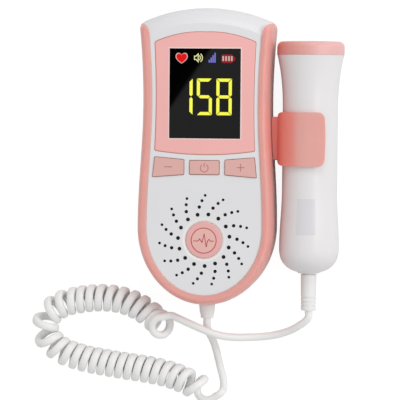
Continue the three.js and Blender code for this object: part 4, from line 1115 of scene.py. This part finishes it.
def badge():
    """The speaker's disc in its ring, with a paler inlay and a pulse line."""
    profile = [(0, -0.9), (8.35, -0.9), (8.35, -0.1)]
    profile += [(7.75 + 0.6 * c, -0.1 + 0.5 * s) for s, c in quarter(6, 1)]
    profile += [(6.6, 0.46), (5, 0.52), (3, 0.57), (0, 0.6)]
    finish_piece(on_speaker(profile), "grille_badge", BADGE_PINK, ["speaker_badge"])
    # A ring whiter than the shell over the dish's edge: a painted highlight on the bevel, which
    # also covers its dark line.
    surround = on_speaker([
        (8.5, -0.6), (8.55, -0.42), (8.9, -0.2), (9.4, -0.02), (9.8, 0.02), (10.05, 0.01),
        (10.05, -0.02), (9.8, -0.1), (8.5, -0.6),
    ])
    finish_piece(surround, "badge_surround", BADGE_RING_HIGHLIGHT)
    inlay = on_speaker([(0, 0.5), (5.6, 0.45), (5.6, 0.53), (3, 0.59), (0, 0.62)], 64, 0.2)
    finish_piece(inlay, "badge_inlay", PALE_INLAY)
    ring = [(5.55, 0.4), (5.95, 0.4), (5.95, 0.56), (5.55, 0.58), (5.55, 0.4)]
    strokes = [on_speaker(ring, 64, 0.2)]
    pulse = [
        (-4.6, 0), (-2.6, 0), (-1.9, 1), (-1.2, 0), (-0.7, -0.7), (0.2, 3.2), (1.2, -2.6), (1.8, 0),
        (2.5, 0.8), (3.1, 0), (4.6, 0),
    ]
    middle = Vector((0, SPEAKER_Y - 0.4))
    for a, b in zip(pulse, pulse[1:]):
        ahead = (Vector(b) - Vector(a)).normalized()
        aside = 0.17 * Vector((-ahead.y, ahead.x))
        a, b = middle + Vector(a) - 0.08 * ahead, middle + Vector(b) + 0.08 * ahead
        corners = [tuple(p) for p in (a + aside, a - aside, b - aside, b + aside)]
        strokes.append(prism(corners, FACE + 0.5, FACE + 0.66))
    finish_piece(merge(strokes), "badge_lines", RED_LINE)


# The boot and the probe, turned about lines along Y

def lengthwise(profile, x, y, z, steps):
    """A turned solid whose axis runs along -Y from x, y, z, from pairs of radius and distance."""
    bm = spun(profile, steps)
    turn = Matrix.Translation((x, y, z)) @ Matrix.Rotation(math.pi / 2, 4, "X")
    bmesh.ops.transform(bm, matrix=turn, verts=bm.verts)
    return bm


def cord_boot():
    profile = [
        (0, -3.2), (5, -3.2), (5, -2), (3.2, -2), (3.2, 0.3), (3.55, 0.3), (3.7, 0.6), (3.66, 1.5),
        (3.5, 3.3), (3.3, 4.7), (3.05, 5), (3, 5.4), (3, 6.4), (2.85, 6.8), (1.75, 6.9), (1.6, 6.5),
        (0, 6.5),
    ]
    bm = lengthwise(profile, 0, FOOT, BOOT_Z, 48)
    finish_piece(bm, "boot", SLEEVE_WHITE, ["cord_boot"])


def probe_radius(s):
    """The handle's radius at a distance from the head's end."""
    if s < FLARE_END:
        share = (s - CAP_LENGTH) / (FLARE_END - CAP_LENGTH)
        return BARREL + (HEAD - 0.15 - BARREL) * (1 - share) ** 2.3
    if s < TAIL_START:
        return BARREL
    if s < TAIL_WIDEST:
        share = (s - TAIL_START) / (TAIL_WIDEST - TAIL_START)
        return BARREL + (TAIL - BARREL) * (1 - math.cos(math.pi * share)) / 2
    share = (s - TAIL_WIDEST) / (PROBE_LENGTH - TAIL_WIDEST)
    return max(TAIL * (1 - share ** 2.4) ** (1 / 2.4), 5)


def on_probe(profile, steps, name, material, node_name, start=0):
    """A turned piece of the probe, its distances counted from start."""
    bm = lengthwise(profile, PROBE_X, PROBE_Y - start, PROBE_Z, steps)
    finish_piece(bm, name, material, [node_name], "probe")


def probe_housing():
    start = CAP_LENGTH + 0.02
    tail = [PROBE_LENGTH - 8 * (1 - i / 14) ** 1.6 for i in range(15)]
    marks = [start + (PROBE_LENGTH - start) * i / 90 for i in range(84)]
    marks = [s for s in marks if s < tail[0]] + tail
    outer = [(probe_radius(s), s) for s in marks]
    inner = [(r - 2, s) for r, s in outer if s < PROBE_LENGTH - 6][::-1]
    inside = PROBE_LENGTH - 4
    profile = outer + [(3.9, PROBE_LENGTH), (3.9, inside), (7.4, inside)] + inner
    on_probe(profile + profile[:1], 96, "handle", PROBE_WHITE, "probe_housing")


def probe_cap():
    face = HEAD - 1.7 - 1.65
    hole, end = face + SEAT, CAP_LENGTH
    profile = [(hole, 0), (13.2, 0)]
    profile += [(13.2 + 2.3 * s, 2.6 * (1 - c)) for s, c in quarter(8, 1)]
    profile += [
        (HEAD, end - 0.1), (HEAD - 0.1, end), (11.6, end), (11.6, 9), (10.65, 9), (10.65, 2.2),
        (hole, 2.2), (hole, 0),
    ]
    on_probe(profile, 96, "head_cap", CAP_PINK, "probe_cap")
    profile = [
        (0, 0.15), (face * 0.6, 0.17), (face - 0.5, 0.2), (face - 0.12, 0.32), (face, 0.6),
        (face, 1.9), (0, 1.9),
    ]
    on_probe(profile, 64, "sound_face", FACE_GREY, "probe_face")


def probe_sleeve():
    end = 17.3
    profile = [
        (0, -5.8), (5.4, -5.8), (5.4, -4.3), (3.5, -4.3), (3.5, 0.1), (2.95, 0.15), (2.95, 0.6),
        (3.6, 0.65), (3.62, 0.9),
    ]
    for s in (11.2, 13.2, 14.9):
        r = 3.66 - 0.012 * s
        profile += [(r, s - 0.25), (r - 0.3, s - 0.15), (r - 0.3, s + 0.15), (r, s + 0.25)]
    profile += [
        (3.44, end - 0.5), (3.3, end - 0.12), (3.1, end), (1.9, end), (1.8, end - 0.4),
        (0, end - 0.4),
    ]
    on_probe(profile, 48, "sleeve", SLEEVE_WHITE, "probe_sleeve", PROBE_LENGTH)


def label():
    """A blank label bent round the handle."""
    bm = bmesh.new()
    bmesh.ops.create_grid(bm, x_segments=12, y_segments=20, size=1)
    for v in bm.verts:
        y = LABEL_Y + LABEL_HALF * v.co.y
        r = probe_radius(PROBE_Y - y) + 0.06
        turn = math.radians(93 - 19 * v.co.x)
        v.co = (PROBE_X + r * math.cos(turn), y, PROBE_Z + r * math.sin(turn))
    bmesh.ops.solidify(bm, geom=bm.faces[:], thickness=0.12)
    finish_piece(bm, "label", LABEL, body="probe")


def probe_clip():
    """The clip: a C that opens away from the case, its bowed plan, and a neck with a tenon."""
    inner, outer = BARREL + SEAT, BARREL + SEAT + 2
    tip = PROBE_X + 8.2
    profile = [(tip, PROBE_Z + outer)] + arc(PROBE_X, PROBE_Z, outer, 90, 270, 40)
    profile += [(tip, PROBE_Z - outer), (tip, PROBE_Z - inner)]
    profile += arc(PROBE_X, PROBE_Z, inner, 270, 90, 40) + [(tip, PROBE_Z + inner)]
    low, high = CLIP_Y - CLIP_HALF, CLIP_Y + CLIP_HALF
    bm = prism([(x, -z) for x, z in profile][::-1], low, high)
    turn = Matrix(((1, 0, 0, 0), (0, 0, 1, 0), (0, -1, 0, 0), (0, 0, 0, 1)))
    bmesh.ops.transform(bm, matrix=turn, verts=bm.verts)
    bmesh.ops.recalc_face_normals(bm, faces=bm.faces)
    edge, left = tip - 0.6, PROBE_X - outer - 0.01
    plan = bezier((left, low + 2.2), (left + 0.3, low), (left + 3, low), 8)
    plan += bezier((tip - 4, low), (edge, low), (edge, low + 4), 8)
    plan += bezier((edge, low + 4), (tip, CLIP_Y), (edge, high - 4), 8)[1:]
    plan += bezier((edge, high - 4), (edge, high), (tip - 4, high), 8)[1:]
    plan += bezier((left + 3, high), (left + 0.3, high), (left, high - 2.2), 8)
    bm = carve(bm, [prism(plan, PROBE_Z - outer - 4, PROBE_Z + outer + 4)], "INTERSECT")
    neck = block(
        WAIST - 4, PROBE_X - inner - 1, CLIP_Y - 10, CLIP_Y + 10, PROBE_Z - 6.5, PROBE_Z + 2
    )
    bevel_edges(neck, [e for e in neck.edges if abs(e.verts[0].co.x - e.verts[1].co.x) > 1], 0.9, 3)
    neck = carve(neck, [prism(case_outline(-SEAT, -SEAT), BELOW, ABOVE)])
    tenon = block(WAIST - 2.2, WIDE + 2, CLIP_Y - 7, CLIP_Y + 7, PROBE_Z - 5, PROBE_Z)
    bm = carve(bm, [neck, tenon], "UNION")
    piece = finish_piece(bm, "clip", CLIP_PINK, ["probe_clip"])
    bevel = piece.modifiers.new("rounded edges", "BEVEL")
    bevel.width = 0.5 * MM
    bevel.segments = 3
    bevel.limit_method = "ANGLE"
    bevel.angle_limit = math.radians(50)


# Cord piece

def make_cord():
    line, outward = cord_line()
    bm = drawn_through(tube_rings(line, CORD / 2, CORD_SIDES, outward))
    piece = finish_piece(
        bm, "cord", CORD_WHITE, ["monitor_lead", "curly_cord", "probe_lead"],
        body=None, limit=60, placed=True,
    )
    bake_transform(piece)


make_cord()
rear_shell()
battery_door()
front_shell()
grille_shade_plugs()
display_bezel()
screen_rim()
shadow_lines()
display_lens()
digits()
screen_signs()
for which in KEYS:
    key(which)
badge()
cord_boot()
probe_housing()
probe_cap()
probe_sleeve()
label()
probe_clip()

FINISHES = [
    (PINK, "rear_shell battery_door"),
    (WHITE, "front_shell"),
    (PANEL_PINK, "display_bezel"),
    (GLASS, "display_lens"),
    (KEY_PINK, "minus_button power_button plus_button"),
    (BADGE_PINK, "speaker_badge"),
    (SLEEVE_WHITE, "cord_boot probe_sleeve"),
    (CORD_WHITE, "monitor_lead curly_cord probe_lead"),
    (CLIP_PINK, "probe_clip"),
    (PROBE_WHITE, "probe_housing"),
    (CAP_PINK, "probe_cap"),
    (FACE_GREY, "probe_face crystal_send crystal_receive"),
    (DARK, "display_module speaker"),
    (MAT, "keypad_membrane"),
    (BOARD, "main_board probe_board"),
    (WRAP, "battery_cell_left battery_cell_right"),
    (STEEL, "battery_spring_left battery_spring_right contact_link contact_left contact_right"),
    (STEEL, "case_screw_1 case_screw_2 case_screw_3 case_screw_4"),
]
for finish, names in FINISHES:
    for name in names.split():
        mesh = frame["nodes"][name].data
        for i in range(len(mesh.materials)):
            mesh.materials[i] = finish


# Floor, light

def floor():
    """The pale table: nearly white to the camera, with the object's faint shadow on it."""
    made, tree, shader = new_material("pale floor", {
        "Base Color": (0.82, 0.82, 0.82, 1), "Roughness": 0.9, "Specular IOR Level": 0,
    })
    rays = node(tree, "LightPath")
    seen = node(tree, "Math", operation="MAXIMUM")
    faint = node(tree, "BsdfDiffuse", {"Color": (0.16, 0.16, 0.16, 1)})
    glow = node(tree, "Emission", {"Strength": 0.92})
    pale = node(tree, "AddShader")
    choose = node(tree, "MixShader")
    wire(
        tree, (rays, "Is Camera Ray", seen, 0), (rays, "Is Transmission Ray", seen, 1),
        (faint, 0, pale, 0), (glow, 0, pale, 1), (seen, 0, choose, 0), (shader, 0, choose, 1),
        (pale, 0, choose, 2), (choose, 0, tree.nodes["Material Output"], "Surface"),
    )
    bm = bmesh.new()
    bmesh.ops.create_grid(bm, x_segments=1, y_segments=1, size=2.5)
    thing = add_object("floor", bm, made)
    thing.location.z = -0.0002


CARD = [(-0.0832, 0.0149), (-0.0508, 0.0622), (-0.0948, 0.0619), (-0.0945, 0.0148)]
CARD_HEIGHT = 0.5295


def dark_card():
    """A black studio card above the table, which the screen glass shows in its upper left part."""
    made = new_material("black card", {"Base Color": (0, 0, 0, 1), "Specular IOR Level": 0})[0]
    bm = bmesh.new()
    outline_face(bm, [(x + HOME.x, y + HOME.y) for x, y in CARD], CARD_HEIGHT)
    thing = add_object("dark card", bm, made)
    thing.visible_camera = thing.visible_diffuse = False
    thing.visible_shadow = thing.visible_transmission = False


def lamp(name, place, size, watts):
    """A square lamp that shines at the middle of the table."""
    data = bpy.data.lights.new(name, "AREA")
    data.energy = watts
    data.size = size
    thing = bpy.data.objects.new(name, data)
    bpy.context.scene.collection.objects.link(thing)
    thing.rotation_mode = "QUATERNION"
    thing.rotation_quaternion = Vector(place).to_track_quat("Z", "Y")
    thing.location = place


def world():
    made = bpy.data.worlds.new("studio")
    bpy.context.scene.world = made
    made.use_nodes = True
    back = made.node_tree.nodes["Background"]
    back.inputs["Color"].default_value = (1, 1, 1, 1)
    back.inputs["Strength"].default_value = 0.655


world()
floor()
dark_card()
lamp("key_light", (1.1, 0.45, 0.85), 0.6, 4.8)
lamp("gap_light", (0.68, 0.05, 1.1), 0.3, 1.2)
lamp("top_light", (0.15, 1.15, 0.95), 0.5, 3)
bpy.context.scene.view_settings.view_transform = "Standard"
